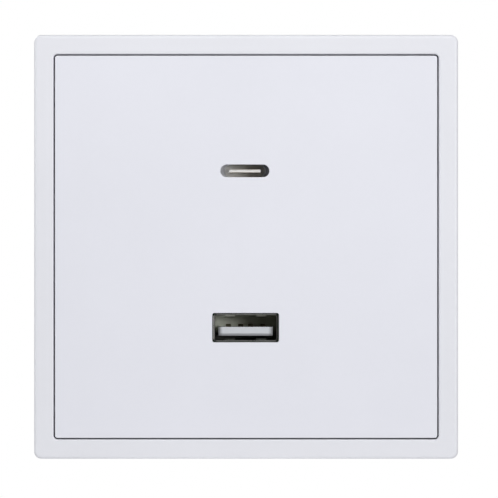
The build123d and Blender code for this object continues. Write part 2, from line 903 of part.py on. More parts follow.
def notched(width, height):
    # A rectangle with its corners cut back around the screw columns
    outline = Rectangle(width, height)
    cut_x = width / 2 - notch_x
    cut_z = height / 2 - notch_z
    for x, z in corners(width / 2 - cut_x / 2, height / 2 - cut_z / 2):
        outline -= Pos(x, z) * Rectangle(cut_x, cut_z)
    return outline


def port_board():
    outline = rounded(port_board_width, port_board_height, port_board_corner)
    board = prism(outline, port_board_y, port_board_back_y)
    room = 2 * hole_clearance
    for x, z in shell_a_legs():
        hole = Rectangle(shell_a_wall + room, leg_a_width + room)
        board -= prism(hole, port_board_y, port_board_back_y, x, z)
    for x, z in shell_c_legs():
        hole = Rectangle(leg_c_width + room, shell_c_wall + room)
        board -= prism(hole, port_board_y, port_board_back_y, x, z)
    for x, z in contact_a_pins() + link_pins():
        board -= post(pin_width / 2 + 2 * hole_clearance, port_board_y, port_board_back_y, x, z)
    return board


def insulating_tray():
    # A notched plate on posts that keep the two boards apart
    width = power_board_width - 2 * board_clearance
    height = power_board_height - 2 * board_clearance
    tray = prism(notched(width, height), tray_y, tray_back_y)
    for x, z in corners(post_spacing_x / 2, post_spacing_z / 2):
        tray += post(post_radius, port_board_back_y, power_board_y, x, z)
    window_x = link_block_width + 2 * board_clearance
    window_z = link_pitch * link_pin_count + 2 * board_clearance
    tray -= block(window_x, tray_y, tray_back_y, window_z, link_x, link_z)
    return tray


def power_board():
    board = prism(notched(power_board_width, power_board_height), power_board_y, parts_y)
    round_leads = capacitor_leads() + transformer_leads() + rectifier_leads()
    round_leads += choke_leads() + two_lead_places()
    for x, z in round_leads:
        board -= post(lead_radius + hole_clearance, power_board_y, parts_y, x, z)
    for x, z in link_pins():
        board -= post(pin_width / 2 + 2 * hole_clearance, power_board_y, parts_y, x, z)
    room = 2 * hole_clearance
    for terminal_x in terminal_places().values():
        for x, z in terminal_tabs(terminal_x):
            slot = Rectangle(bracket_sheet + room, tab_width + room)
            board -= prism(slot, power_board_y, parts_y, x, z)
    return board


def leads(places, root_y):
    wires = [post(lead_radius, power_board_y - lead_stick_out, root_y, x, z) for x, z in places]
    return wires


def board_link():
    # A row of square pins through a block that stands on the port board
    length = link_pitch * link_pin_count
    block_y = port_board_back_y + link_block_height
    link = block(link_block_width, port_board_back_y, block_y, length, link_x, link_z)
    side = pin_width * 0.8
    for x, z in link_pins():
        link += block(side, port_board_y - lead_stick_out, parts_y + lead_stick_out, side, x, z)
    return link


def port_controller():
    size_x, height, size_z = port_controller_size
    body = block(size_x, port_board_y - height, port_board_y, size_z, port_controller_x, port_controller_z)
    front = body.faces().sort_by(Axis.Y)[0]
    return chamfer(front.edges(), port_controller_edge)


def port_inductor():
    size_x, height, size_z = port_inductor_size
    outline = rounded(size_x, size_z, port_inductor_corner)
    body = prism(outline, port_board_y - height, port_board_y, port_inductor_x, port_inductor_z)
    return fillet(body.faces().sort_by(Axis.Y)[0].edges(), port_inductor_edge)


# Terminals


def terminal_bracket(x):
    # A folded brass bridge with a threaded collar and two solder tabs
    collar_y = bracket_top_y - bracket_sheet - thread_collar_height
    outer = block(bracket_width, parts_y, bracket_top_y, bracket_depth, x, terminal_z)
    outer = fillet(outer.faces().sort_by(Axis.Y)[-1].edges().filter_by(Axis.Z), bracket_sheet * 0.8)
    inner_width_x = bracket_width - 2 * bracket_sheet
    hollow = block(inner_width_x, parts_y, bracket_top_y - bracket_sheet, bracket_depth, x, terminal_z)
    body = outer - hollow
    body += post(thread_collar_radius, collar_y, bracket_top_y - bracket_sheet, x, terminal_z)
    body -= post(terminal_screw_radius + thread_clearance, collar_y, bracket_top_y, x, terminal_z)
    for tab_x, tab_z in terminal_tabs(x):
        body += block(bracket_sheet, power_board_y - lead_stick_out, parts_y, tab_width, tab_x, tab_z)
    return body


def clamp_plate(x):
    # A channel-shaped pressure plate that slides over the bracket
    inner_half = bracket_width / 2 + flange_clearance
    outer_width = 2 * (inner_half + flange_sheet)
    flange_y = bracket_top_y - flange_overlap
    body = block(outer_width, flange_y, clamp_back_y, bracket_depth, x, terminal_z)
    body = fillet(body.faces().sort_by(Axis.Y)[-1].edges().filter_by(Axis.Z), flange_sheet * 0.7)
    body -= block(2 * inner_half, flange_y, clamp_y, bracket_depth, x, terminal_z)
    hole = terminal_screw_radius + clamp_hole_clearance
    body -= post(hole, clamp_y, clamp_back_y, x, terminal_z)
    return body


def terminal_screw(x):
    # A cheese-head screw with a straight slot and a shorter cross slot
    tip_y = bracket_top_y - screw_reach
    edge = 0.35
    screw = turned(
        [
            (0, tip_y),
            (terminal_screw_radius - edge, tip_y),
            (terminal_screw_radius, tip_y + edge),
            (terminal_screw_radius, clamp_back_y),
            (terminal_head_radius, clamp_back_y),
            (terminal_head_radius, terminal_head_back_y - edge),
            (terminal_head_radius - edge, terminal_head_back_y),
            (0, terminal_head_back_y),
        ],
        x,
        terminal_z,
    )
    recess_y = terminal_head_back_y - terminal_slot_depth
    screw -= block(
        2 * terminal_head_radius, recess_y, terminal_head_back_y, terminal_slot_width, x, terminal_z
    )
    screw -= block(
        terminal_slot_width, recess_y, terminal_head_back_y, terminal_head_radius, x, terminal_z
    )
    return screw


# Power parts


def transformer_core():
    # Two E halves lying flat, their three legs along Z
    y0 = transformer_axis_y - core_thickness / 2
    y1 = transformer_axis_y + core_thickness / 2
    body = block(core_width, y0, y1, core_length, 0, transformer_z)
    window_length = core_length - 2 * core_yoke
    window_width = core_width / 2 - 2 * core_leg
    for side in (-1, 1):
        x = side * (core_leg + window_width / 2)
        body -= block(window_width, y0, y1, window_length, x, transformer_z)
    return body


def bobbin_half():
    return core_leg + fit_clearance + bobbin_wall


def transformer_bobbin():
    # A tube round the middle leg with a flange and a pin rail at each end
    window_length = core_length - 2 * core_yoke - 2 * fit_clearance
    half_x = bobbin_half()
    half_y = core_thickness / 2 + fit_clearance + bobbin_wall
    y0 = transformer_axis_y - half_y
    y1 = transformer_axis_y + half_y
    body = block(2 * half_x, y0, y1, window_length, 0, transformer_z)
    flange_half = core_width / 2 - core_leg - fit_clearance
    rail_y = parts_y + bobbin_base_foot
    for side in (-1, 1):
        z = transformer_z + side * (window_length - bobbin_flange) / 2
        top_y = transformer_axis_y + bobbin_flange_height
        body += block(2 * flange_half, rail_y, top_y, bobbin_flange, 0, z)
        rail_length = core_yoke + fit_clearance + bobbin_flange
        rail_z = transformer_z + side * (core_length / 2 - rail_length / 2)
        rail_back = transformer_axis_y - core_thickness / 2
        body += block(bobbin_base_width, rail_y, rail_back, rail_length, 0, rail_z)
    for x, z in corners(bobbin_base_width / 2 - 1, core_length / 2 - 1):
        body += post(0.7, parts_y, rail_y, x, transformer_z + z)
    bore_y0 = transformer_axis_y - core_thickness / 2 - fit_clearance
    bore_y1 = transformer_axis_y + core_thickness / 2 + fit_clearance
    body -= block(2 * (core_leg + fit_clearance), bore_y0, bore_y1, core_length, 0, transformer_z)
    for x, z in transformer_leads():
        body -= post(lead_radius + fit_clearance, rail_y, rail_y + bobbin_base_height / 2, x, z)
    return body


def transformer_pins():
    rail_y = parts_y + bobbin_base_foot + bobbin_base_height / 2
    return Compound(leads(transformer_leads(), rail_y))


def transformer_winding():
    # The taped winding, a ring with rounded edges round the bobbin tube
    length = core_length - 2 * core_yoke - 2 * fit_clearance - 2 * bobbin_flange
    half_x = bobbin_half()
    half_y = core_thickness / 2 + fit_clearance + bobbin_wall
    size_x = 2 * (half_x + winding_build)
    y0 = transformer_axis_y - half_y - winding_build
    y1 = transformer_axis_y + half_y + winding_build
    body = block(size_x, y0, y1, length, 0, transformer_z)
    body = fillet(body.edges().filter_by(Axis.Z), winding_build * 0.7)
    tube_y0 = transformer_axis_y - half_y
    tube_y1 = transformer_axis_y + half_y
    body -= block(2 * half_x, tube_y0, tube_y1, length, 0, transformer_z)
    return body


def capacitor(radius, height, x, z):
    # A can with a crimped neck, a rubber foot and a scored top
    y0 = parts_y + capacitor_foot
    y1 = y0 + height
    crimp_y = y0 + can_crimp_start + can_crimp_half
    body = turned(
        [
            (0, parts_y),
            (can_foot_radius, parts_y),
            (can_foot_radius, y0),
            (radius, y0),
            (radius, crimp_y - can_crimp_half),
            (radius - can_crimp_depth, crimp_y),
            (radius, crimp_y + can_crimp_half),
            (radius, y1 - can_edge_bevel),
            (radius - can_edge_bevel, y1),
            (0, y1),
        ],
        x,
        z,
    )
    score_y = y1 - can_score_depth
    body -= block(can_score_length, score_y, y1, can_score_width, x, z)
    body -= block(can_score_width, score_y, y1, can_score_length, x, z)
    for lead in leads(pair_along_z(x, z, capacitor_lead_spacing), parts_y):
        body += lead
    return body


def box_part(size, x, z, lead_places, edge):
    # A moulded box part with rounded top edges, standing on the power board
    size_x, height, size_z = size
    body = block(size_x, parts_y, parts_y + height, size_z, x, z)
    body = fillet(body.faces().sort_by(Axis.Y)[-1].edges(), edge)
    for lead in leads(lead_places, parts_y):
        body += lead
    return body


def disc_part(radius, thickness, x, z, lead_places, turn):
    # A coated disc that stands on its two leads, thin along X or Z
    centre_y = parts_y + radius + disc_lift
    disc = Cylinder(radius, thickness)
    disc = fillet(disc.edges(), thickness * 0.3)
    body = Pos(x, centre_y, z) * Rot(0, turn, 0) * disc
    for lead in leads(lead_places, centre_y - radius / 2):
        body += lead
    return body


def choke_core():
    y0 = parts_y + choke_winding + choke_lift
    y1 = y0 + choke_height
    bevel = choke_bevel
    return turned(
        [
            (choke_inner_radius, y0 + bevel),
            (choke_inner_radius + bevel, y0),
            (choke_outer_radius - bevel, y0),
            (choke_outer_radius, y0 + bevel),
            (choke_outer_radius, y1 - bevel),
            (choke_outer_radius - bevel, y1),
            (choke_inner_radius + bevel, y1),
            (choke_inner_radius, y1 - bevel),
        ],
        choke_x,
        choke_z,
    )


def choke_windings():
    # Two windings, each a sleeve round part of the ring, with their leads
    y0 = parts_y + choke_winding + choke_lift
    y1 = y0 + choke_height
    grow = choke_winding
    sleeve = turned(
        [
            (choke_inner_radius - grow, y0 - grow),
            (choke_outer_radius + grow, y0 - grow),
            (choke_outer_radius + grow, y1 + grow),
            (choke_inner_radius - grow, y1 + grow),
        ],
        0,
        0,
        choke_winding_arc,
    )
    gap = fit_clearance
    core_room = turned(
        [
            (choke_inner_radius - gap, y0 - gap),
            (choke_outer_radius + gap, y0 - gap),
            (choke_outer_radius + gap, y1 + gap),
            (choke_inner_radius - gap, y1 + gap),
        ]
    )
    sleeve -= core_room
    windings = []
    for turn in (0, 180):
        placed = Rot(0, turn + choke_winding_arc / 2, 0) * sleeve
        winding = Pos(choke_x, 0, choke_z) * placed
        windings.append(winding)
    near = choke_leads()
    solids = []
    for winding in windings:
        centre = winding.center()
        own = [(x, z) for x, z in near if (x - choke_x) * (centre.X - choke_x) > 0]
        for lead in leads(own, y0 - grow + 0.2):
            winding += lead
        solids.append(winding)
    return Compound(solids)


def output_choke():
    # A ferrite drum with its winding between two flanges
    y0 = parts_y
    y1 = y0 + output_choke_height
    flange = output_choke_height / 5
    waist = output_choke_radius * 0.86
    body = turned(
        [
            (0, y0),
            (output_choke_radius, y0),
            (output_choke_radius, y0 + flange),
            (waist, y0 + flange),
            (waist, y1 - flange),
            (output_choke_radius, y1 - flange),
            (output_choke_radius, y1),
            (0, y1),
        ],
        output_choke_x,
        output_choke_z,
    )
    for lead in leads(pair_along_x(output_choke_x, output_choke_z, output_choke_radius), y0):
        body += lead
    return body


def converter_controller():
    # An eight-lead controller on the front of the power board
    size_x, height, size_z = controller_size
    y0 = power_board_y - height
    body = block(size_x, y0, power_board_y - controller_standoff, size_z, controller_x, controller_z)
    body = chamfer(body.faces().sort_by(Axis.Y)[0].edges(), controller_edge)
    t = controller_leg_sheet
    shoulder_y = power_board_y - controller_leg_drop
    knee_z = controller_leg_reach / 2 + t / 2
    leg = [
        (shoulder_y - t, -t),
        (shoulder_y - t, knee_z),
        (power_board_y - t, knee_z),
        (power_board_y - t, controller_leg_reach),
        (power_board_y, controller_leg_reach),
        (power_board_y, knee_z - t),
        (shoulder_y, knee_z - t),
        (shoulder_y, -t),
    ]
    middle = (controller_leg_count - 1) / 2
    for i in range(controller_leg_count):
        x = controller_x + controller_leg_pitch * (i - middle)
        for side in (-1, 1):
            root_z = controller_z + side * size_z / 2
            body += side_profile([(y, root_z + side * z) for y, z in leg], controller_leg_width, x)
    return body


save(mounting_frame(), "mounting_frame")
save(cover_plate(), "cover_plate")
save(front_shield(), "front_shield")
save(rear_housing(), "rear_housing")
save(housing_screws(), "housing_screws")

save(usb_a_shell(), "usb_a_shell")
save(usb_a_insulator(), "usb_a_insulator")
save(usb_a_contacts(), "usb_a_contacts")
save(usb_c_shell(), "usb_c_shell")
save(usb_c_insulator(), "usb_c_insulator")
save(usb_c_contacts(), "usb_c_contacts")

save(port_board(), "port_board")
save(port_controller(), "port_controller")
save(port_inductor(), "port_inductor")
save(board_link(), "board_link")
save(insulating_tray(), "insulating_tray")
save(power_board(), "power_board")

for terminal_name, terminal_x in terminal_places().items():
    save(terminal_bracket(terminal_x), f"{terminal_name}_bracket")
    save(clamp_plate(terminal_x), f"{terminal_name}_clamp_plate")
    save(terminal_screw(terminal_x), f"{terminal_name}_screw")

save(transformer_core(), "transformer_core")
save(transformer_bobbin(), "transformer_bobbin")
save(transformer_pins(), "transformer_pins")
save(transformer_winding(), "transformer_winding")
for level, (cap_x, cap_z) in input_capacitor_places().items():
    body = capacitor(input_capacitor_radius, input_capacitor_height, cap_x, cap_z)
    save(body, f"input_capacitor_{level}")
for level, (cap_x, cap_z) in output_capacitor_places().items():
    body = capacitor(output_capacitor_radius, output_capacitor_height, cap_x, cap_z)
    save(body, f"output_capacitor_{level}")
x_leads = pair_along_x(x_capacitor_x, x_capacitor_z, x_capacitor_size[0] - 2 * x_capacitor_lead_inset)
save(box_part(x_capacitor_size, x_capacitor_x, x_capacitor_z, x_leads, x_capacitor_edge), "x_capacitor")
fuse_leads = pair_along_z(fuse_x, fuse_z, fuse_size[2] - 2 * fuse_lead_inset)
save(box_part(fuse_size, fuse_x, fuse_z, fuse_leads, fuse_edge), "fuse")
rectifier = box_part(rectifier_size, rectifier_x, rectifier_z, rectifier_leads(), rectifier_edge)
save(rectifier, "bridge_rectifier")
varistor_leads = pair_along_z(varistor_x, varistor_z, varistor_radius)
save(disc_part(varistor_radius, varistor_thickness, varistor_x, varistor_z, varistor_leads, 90), "varistor")
thermistor_leads = pair_along_x(thermistor_x, thermistor_z, thermistor_radius)
thermistor = disc_part(
    thermistor_radius, thermistor_thickness, thermistor_x, thermistor_z, thermistor_leads, 0
)
save(thermistor, "thermistor")
y_leads = pair_along_x(y_capacitor_x, y_capacitor_z, y_capacitor_radius)
y_capacitor = disc_part(y_capacitor_radius, y_capacitor_thickness, y_capacitor_x, y_capacitor_z, y_leads, 0)
save(y_capacitor, "y_capacitor")
save(choke_core(), "choke_core")
save(choke_windings(), "choke_windings")
save(output_choke(), "output_choke")
save(converter_controller(), "converter_controller")
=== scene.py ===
import math

import bpy
from mathutils import Matrix, Vector


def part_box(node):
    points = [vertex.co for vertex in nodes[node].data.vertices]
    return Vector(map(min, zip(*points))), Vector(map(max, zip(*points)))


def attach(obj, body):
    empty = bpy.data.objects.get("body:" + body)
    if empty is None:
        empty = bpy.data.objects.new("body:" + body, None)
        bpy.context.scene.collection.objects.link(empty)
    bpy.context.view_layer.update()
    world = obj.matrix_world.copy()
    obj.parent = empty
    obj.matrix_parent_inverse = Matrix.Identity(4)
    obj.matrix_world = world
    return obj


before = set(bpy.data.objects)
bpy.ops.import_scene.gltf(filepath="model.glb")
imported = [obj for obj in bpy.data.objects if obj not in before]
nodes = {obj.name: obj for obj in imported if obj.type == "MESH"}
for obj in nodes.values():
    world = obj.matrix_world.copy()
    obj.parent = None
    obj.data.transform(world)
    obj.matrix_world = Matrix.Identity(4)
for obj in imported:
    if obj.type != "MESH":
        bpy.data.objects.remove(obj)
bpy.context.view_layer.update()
print("frame loaded,", len(nodes), "nodes")


# Node helpers

def linear(red, green, blue):
    # A screen colour, 0 to 255 a channel, as the linear colour that a shader takes
    def channel(value):
        value /= 255
        return value / 12.92 if value <= 0.04045 else ((value + 0.055) / 1.055) ** 2.4
    return (channel(red), channel(green), channel(blue), 1.0)


def addNode(tree, kind, **settings):
    node = tree.nodes.new(kind)
    for key, value in settings.items():
        setattr(node, key, value)
    return node


def startMaterial(name, colour, roughness, metallic=0.0):
    material = bpy.data.materials.new(name)
    material.use_nodes = True
    tree = material.node_tree
    shader = tree.nodes["Principled BSDF"]
    shader.inputs["Base Color"].default_value = colour
    shader.inputs["Roughness"].default_value = roughness
    shader.inputs["Metallic"].default_value = metallic
    return material, tree, shader


def objectPoint(tree, centre=(0, 0, 0), stretch=(1, 1, 1)):
    # The place on the piece, in metres, from a chosen centre
    place = addNode(tree, "ShaderNodeTexCoord")
    mapping = addNode(tree, "ShaderNodeMapping")
    mapping.inputs["Location"].default_value = [-c * s for c, s in zip(centre, stretch)]
    mapping.inputs["Scale"].default_value = stretch
    tree.links.new(place.outputs["Object"], mapping.inputs["Vector"])
    return mapping.outputs["Vector"]


def noise(tree, point, scale, detail=2.0, roughness=0.5):
    node = addNode(tree, "ShaderNodeTexNoise")
    node.inputs["Scale"].default_value = scale
    node.inputs["Detail"].default_value = detail
    node.inputs["Roughness"].default_value = roughness
    tree.links.new(point, node.inputs["Vector"])
    return node.outputs["Fac"]


def remap(tree, value, low, high, newLow, newHigh, smooth=False):
    node = addNode(tree, "ShaderNodeMapRange")
    if smooth:
        node.interpolation_type = "SMOOTHSTEP"
    for name, number in (("From Min", low), ("From Max", high), ("To Min", newLow), ("To Max", newHigh)):
        node.inputs[name].default_value = number
    tree.links.new(value, node.inputs["Value"])
    return node.outputs["Result"]


def math2(tree, operation, first, second):
    node = addNode(tree, "ShaderNodeMath", operation=operation)
    for socket, value in zip(node.inputs, (first, second)):
        if isinstance(value, (int, float)):
            socket.default_value = value
        else:
            tree.links.new(value, socket)
    return node.outputs["Value"]


def mixColours(tree, factor, first, second):
    node = addNode(tree, "ShaderNodeMix", data_type="RGBA")
    tree.links.new(factor, node.inputs["Factor"])
    for index, colour in ((6, first), (7, second)):
        if isinstance(colour, (tuple, list)):
            node.inputs[index].default_value = colour
        else:
            tree.links.new(colour, node.inputs[index])
    return node.outputs[2]


def addBump(tree, shader, height, strength, distance):
    node = addNode(tree, "ShaderNodeBump")
    node.inputs["Strength"].default_value = strength
    node.inputs["Distance"].default_value = distance
    tree.links.new(height, node.inputs["Height"])
    tree.links.new(node.outputs["Normal"], shader.inputs["Normal"])


def shade(colour, factor):
    return (colour[0] * factor, colour[1] * factor, colour[2] * factor, 1.0)


# Finishes

# Where most values of a noise lie, and how streaks are stretched along an axis
noiseBand = (0.3, 0.7)
alongDepth = (1, 0.04, 1)
alongCan = (1, 0.05, 1)
alongWidth = (0.05, 1, 1)


def mouldedPlastic(name, colour, roughness=0.42, grain=0.14, grainSize=0.00014):
    # Injection-moulded plastic: spark-eroded grain, slow flow tone and a few brighter and duller patches
    mould = {
        "tone": 0.012,
        "flowScale": 38.0,
        "flowShare": 0.8,
        "fleckScale": 900.0,
        "patchScale": 120.0,
        "glossier": 0.04,
        "duller": 0.05,
        "grainDepth": 0.2,
    }
    material, tree, shader = startMaterial(name, colour, roughness)
    point = objectPoint(tree)
    flow = math2(tree, "MULTIPLY", noise(tree, point, mould["flowScale"], 3.0), mould["flowShare"])
    fleck = math2(tree, "MULTIPLY", noise(tree, point, mould["fleckScale"], 2.0), 1 - mould["flowShare"])
    tint = remap(tree, math2(tree, "ADD", flow, fleck), *noiseBand, 0, 1)
    paint = mixColours(tree, tint, shade(colour, 1 - mould["tone"]), shade(colour, 1 + mould["tone"]))
    tree.links.new(paint, shader.inputs["Base Color"])
    cloud = noise(tree, point, mould["patchScale"], 4.0)
    patch = remap(tree, cloud, *noiseBand, roughness - mould["glossier"], roughness + mould["duller"])
    tree.links.new(patch, shader.inputs["Roughness"])
    fine = noise(tree, point, 1 / grainSize, 3.0, 0.6)
    addBump(tree, shader, fine, grain, grainSize * mould["grainDepth"])
    return material


def platedMetal(name, colour, roughness, along=(1, 1, 1)):
    # Drawn or stamped metal with streaks along one way and faint duller spots
    plate = {
        "lineScale": 5000.0,
        "spotScale": 700.0,
        "glossier": 0.075,
        "duller": 0.125,
        "dullBand": (0.45, 0.75),
        "spotRoughness": 0.1,
        "toneBand": (0.35, 0.7),
        "spotTone": 0.86,
        "bump": 0.12,
        "bumpDepth": 0.00001,
    }
    material, tree, shader = startMaterial(name, colour, roughness, 1.0)
    lines = noise(tree, objectPoint(tree, stretch=along), plate["lineScale"], 3.0)
    dull = noise(tree, objectPoint(tree), plate["spotScale"], 4.0)
    rough = math2(
        tree, "ADD",
        remap(tree, lines, *noiseBand, roughness - plate["glossier"], roughness + plate["duller"]),
        remap(tree, dull, *plate["dullBand"], 0, plate["spotRoughness"]),
    )
    tree.links.new(rough, shader.inputs["Roughness"])
    spotted = remap(tree, dull, *plate["toneBand"], 0, 1)
    paint = mixColours(tree, spotted, colour, shade(colour, plate["spotTone"]))
    tree.links.new(paint, shader.inputs["Base Color"])
    addBump(tree, shader, lines, plate["bump"], plate["bumpDepth"])
    return material


def mouthMetalPaintedLight(name, tones, place, roughness):
    # Plated steel of a port's mouth, with light and shade painted into its colour: a rim with a painted
    # highlight at its left and narrow bands of painted shade, an upper inside painted pale on the left as if
    # lit from the right and darker to the right, and a lower inside painted dark as shade
    edge = {"side": 0.00005, "depth": 0.0001, "cloudScale": 1400.0, "cloudShare": 0.25}
    material = platedMetal(name, tones["left"], roughness, alongDepth)
    tree = material.node_tree
    shader = tree.nodes["Principled BSDF"]
    split = addNode(tree, "ShaderNodeSeparateXYZ")
    tree.links.new(objectPoint(tree), split.inputs["Vector"])
    cloud = math2(tree, "SUBTRACT", noise(tree, objectPoint(tree), edge["cloudScale"], 3.0), 0.5)
    # Painted light across the inside: pale where it is lit, darker to the right as painted shade, broken by a
    # faint random cloud
    across = remap(tree, split.outputs["X"], place["paintedLitX"], place["paintedShadeX"], 0, 1)
    blend = math2(tree, "ADD", across, math2(tree, "MULTIPLY", cloud, edge["cloudShare"]))
    upper = mixColours(tree, blend, tones["left"], tones["right"])
    # Painted shade: the lower inside darker than the upper
    height = remap(tree, split.outputs["Z"], place["lowZ"], place["highZ"], 0, 1, smooth=True)
    inside = mixColours(tree, height, tones["low"], upper)
    # The rim's painted highlight and painted shade, step by step across it
    rim = tones["rimLeftPaintedHighlight"]
    for x, tone in place["rimSteps"]:
        step = remap(tree, split.outputs["X"], x - edge["side"], x + edge["side"], 0, 1)
        rim = mixColours(tree, step, rim, tones[tone])
    depth = remap(tree, split.outputs["Y"], place["rimY"], place["rimY"] + edge["depth"], 0, 1)
    tree.links.new(mixColours(tree, depth, rim, inside), shader.inputs["Base Color"])
    return material


def tongueBlockPaintedLight(name, colour, base, place):
    # Moulded block of the Type-A port: a tongue whose ends are painted darker as shade, and a base wall
    # painted pale on its left where lit, darker to the right and dark low down as painted shade
    material = mouldedPlastic(name, colour, 0.5, 0.1, 0.00008)
    tree = material.node_tree
    shader = tree.nodes["Principled BSDF"]
    own = shader.inputs["Base Color"].links[0].from_socket
    split = addNode(tree, "ShaderNodeSeparateXYZ")
    tree.links.new(objectPoint(tree, (place["middleX"], 0, 0)), split.inputs["Vector"])
    out = math2(tree, "ABSOLUTE", split.outputs["X"], 0.0)
    # Painted shade on the tongue's ends
    ends = remap(tree, out, place["endsFrom"], place["endsTo"], 0, 1, smooth=True)
    tongue = mixColours(tree, ends, own, shade(colour, place["endPaintedShade"]))
    # Painted light and shade on the base wall: pale on the left, darker to the right, dark low down
    across = remap(tree, split.outputs["X"], place["paintedLitX"], place["paintedShadeX"], 0, 1)
    upper = mixColours(tree, across, base["left"], base["right"])
    height = remap(tree, split.outputs["Z"], place["lowZ"], place["highZ"], 0, 1, smooth=True)
    wall = mixColours(tree, height, base["low"], upper)
    depth = remap(tree, split.outputs["Y"], place["tongueY"], place["wallY"], 0, 1)
    tree.links.new(mixColours(tree, depth, tongue, wall), shader.inputs["Base Color"])
    return material


def boardLaminate(name):
    # Solder-masked laminate: woven glass shows faintly, copper areas with narrow gaps raise the mask
    board = {
        "betweenCopper": linear(14, 62, 36),
        "overCopper": linear(30, 104, 60),
        "overGlass": linear(90, 140, 90),
        "weaveScale": 900.0,
        "weaveShows": 0.12,
        "copperScale": 160.0,
        "copperVaries": 0.8,
        "gap": (0.05, 0.08),
        "bump": 0.3,
        "bumpDepth": 0.00003,
    }
    material, tree, shader = startMaterial(name, linear(24, 92, 54), 0.3)
    point = objectPoint(tree)
    threads = []
    for direction in ("X", "Z"):
        wave = addNode(tree, "ShaderNodeTexWave", wave_type="BANDS", bands_direction=direction)
        wave.inputs["Scale"].default_value = board["weaveScale"]
        tree.links.new(point, wave.inputs["Vector"])
        threads.append(wave.outputs["Fac"])
    cloth = math2(tree, "MULTIPLY", *threads)
    distances = []
    for feature in ("F2", "F1"):
        cells = addNode(tree, "ShaderNodeTexVoronoi", feature=feature, distance="CHEBYCHEV")
        cells.inputs["Scale"].default_value = board["copperScale"]
        cells.inputs["Randomness"].default_value = board["copperVaries"]
        tree.links.new(point, cells.inputs["Vector"])
        distances.append(cells.outputs["Distance"])
    copper = remap(tree, math2(tree, "SUBTRACT", *distances), *board["gap"], 0, 1)
    paint = mixColours(tree, copper, board["betweenCopper"], board["overCopper"])
    faded = mixColours(tree, math2(tree, "MULTIPLY", cloth, board["weaveShows"]), paint, board["overGlass"])
    tree.links.new(faded, shader.inputs["Base Color"])
    addBump(tree, shader, copper, board["bump"], board["bumpDepth"])
    return material


def groundFerrite(name):
    # Sintered ferrite: dark, with paler specks painted in as glints, and grinding lines on its faces
    ground = {
        "dark": linear(54, 54, 58),
        "paintedGlint": linear(110, 110, 116),
        "lineScale": 6000.0,
        "lineStretch": 0.05,
        "glintScale": 9000.0,
        "glint": (0.62, 0.75),
        "roughness": (0.45, 0.65),
        "bump": 0.2,
        "bumpDepth": 0.00002,
    }
    material, tree, shader = startMaterial(name, linear(58, 58, 62), 0.55)
    lines = noise(tree, objectPoint(tree, stretch=(1, 1, ground["lineStretch"])), ground["lineScale"], 2.0)
    grain = noise(tree, objectPoint(tree), ground["glintScale"], 1.0)
    # Painted glints: paler specks in the colour
    glint = remap(tree, grain, *ground["glint"], 0, 1)
    paint = mixColours(tree, glint, ground["dark"], ground["paintedGlint"])
    tree.links.new(paint, shader.inputs["Base Color"])
    tree.links.new(remap(tree, lines, *noiseBand, *ground["roughness"]), shader.inputs["Roughness"])
    addBump(tree, shader, lines, ground["bump"], ground["bumpDepth"])
    return material


def coatedPart(name, colour, roughness=0.25):
    # A dipped or sleeved electrical part: glossy, with slow waves in the coat
    coat = {
        "waveScale": 420.0,
        "darker": 0.85,
        "paler": 1.12,
        "duller": 0.15,
        "bumpScale": 1500.0,
        "bump": 0.15,
        "bumpDepth": 0.00005,
    }
    material, tree, shader = startMaterial(name, colour, roughness)
    point = objectPoint(tree)
    waves = noise(tree, point, coat["waveScale"], 2.0)
    tint = remap(tree, waves, *noiseBand, 0, 1)
    paint = mixColours(tree, tint, shade(colour, coat["darker"]), shade(colour, coat["paler"]))
    tree.links.new(paint, shader.inputs["Base Color"])
    rough = remap(tree, waves, *noiseBand, roughness, roughness + coat["duller"])
    tree.links.new(rough, shader.inputs["Roughness"])
    addBump(tree, shader, noise(tree, point, coat["bumpScale"], 3.0), coat["bump"], coat["bumpDepth"])
    return material


def woundTape(name):
    # Polyester tape in overlapping layers, each edge a fine step
    tape = {
        "shaded": linear(196, 154, 38),
        "pale": linear(224, 188, 70),
        "layerScale": 110.0,
        "uneven": 0.6,
        "bump": 0.3,
        "bumpDepth": 0.00006,
    }
    material, tree, shader = startMaterial(name, linear(214, 176, 54), 0.28)
    layers = addNode(tree, "ShaderNodeTexWave", wave_type="BANDS", bands_direction="Z", wave_profile="SAW")
    layers.inputs["Scale"].default_value = tape["layerScale"]
    layers.inputs["Distortion"].default_value = tape["uneven"]
    tree.links.new(objectPoint(tree), layers.inputs["Vector"])
    paint = mixColours(tree, layers.outputs["Fac"], tape["shaded"], tape["pale"])
    tree.links.new(paint, shader.inputs["Base Color"])
    addBump(tree, shader, layers.outputs["Fac"], tape["bump"], tape["bumpDepth"])
    return material


# Painted light and shade of the two port mouths and of the Type-A tongue and base wall, and where on the part
# they change, in metres: pale tones where lit, dark tones as painted shade, a painted highlight at each rim's
# left
mouthPaintedTones = {
    "left": linear(206, 209, 198),
    "right": linear(132, 132, 122),
    "low": linear(96, 98, 94),
    "rim": linear(124, 126, 122),
    "rimLeftPaintedHighlight": linear(250, 250, 246),
    "rimPaintedShade": linear(78, 78, 76),
}
# The Type-C mouth: painted pale on the left where lit, painted shade to the right and low down, a painted
# highlight and painted shade on its rim
flaredPaintedTones = {
    "left": linear(244, 246, 250),
    "right": linear(150, 152, 158),
    "low": linear(150, 152, 158),
    "rim": linear(150, 150, 152),
    "rimLeftPaintedHighlight": linear(207, 207, 210),
    "rimRightPaintedShade": linear(88, 88, 92),
}
# The Type-A base wall: painted pale on the left where lit, darker to the right and dark low down as painted
# shade
baseWallPaintedTones = {"left": linear(250, 253, 242), "right": linear(186, 188, 168), "low": linear(112, 112, 108)}
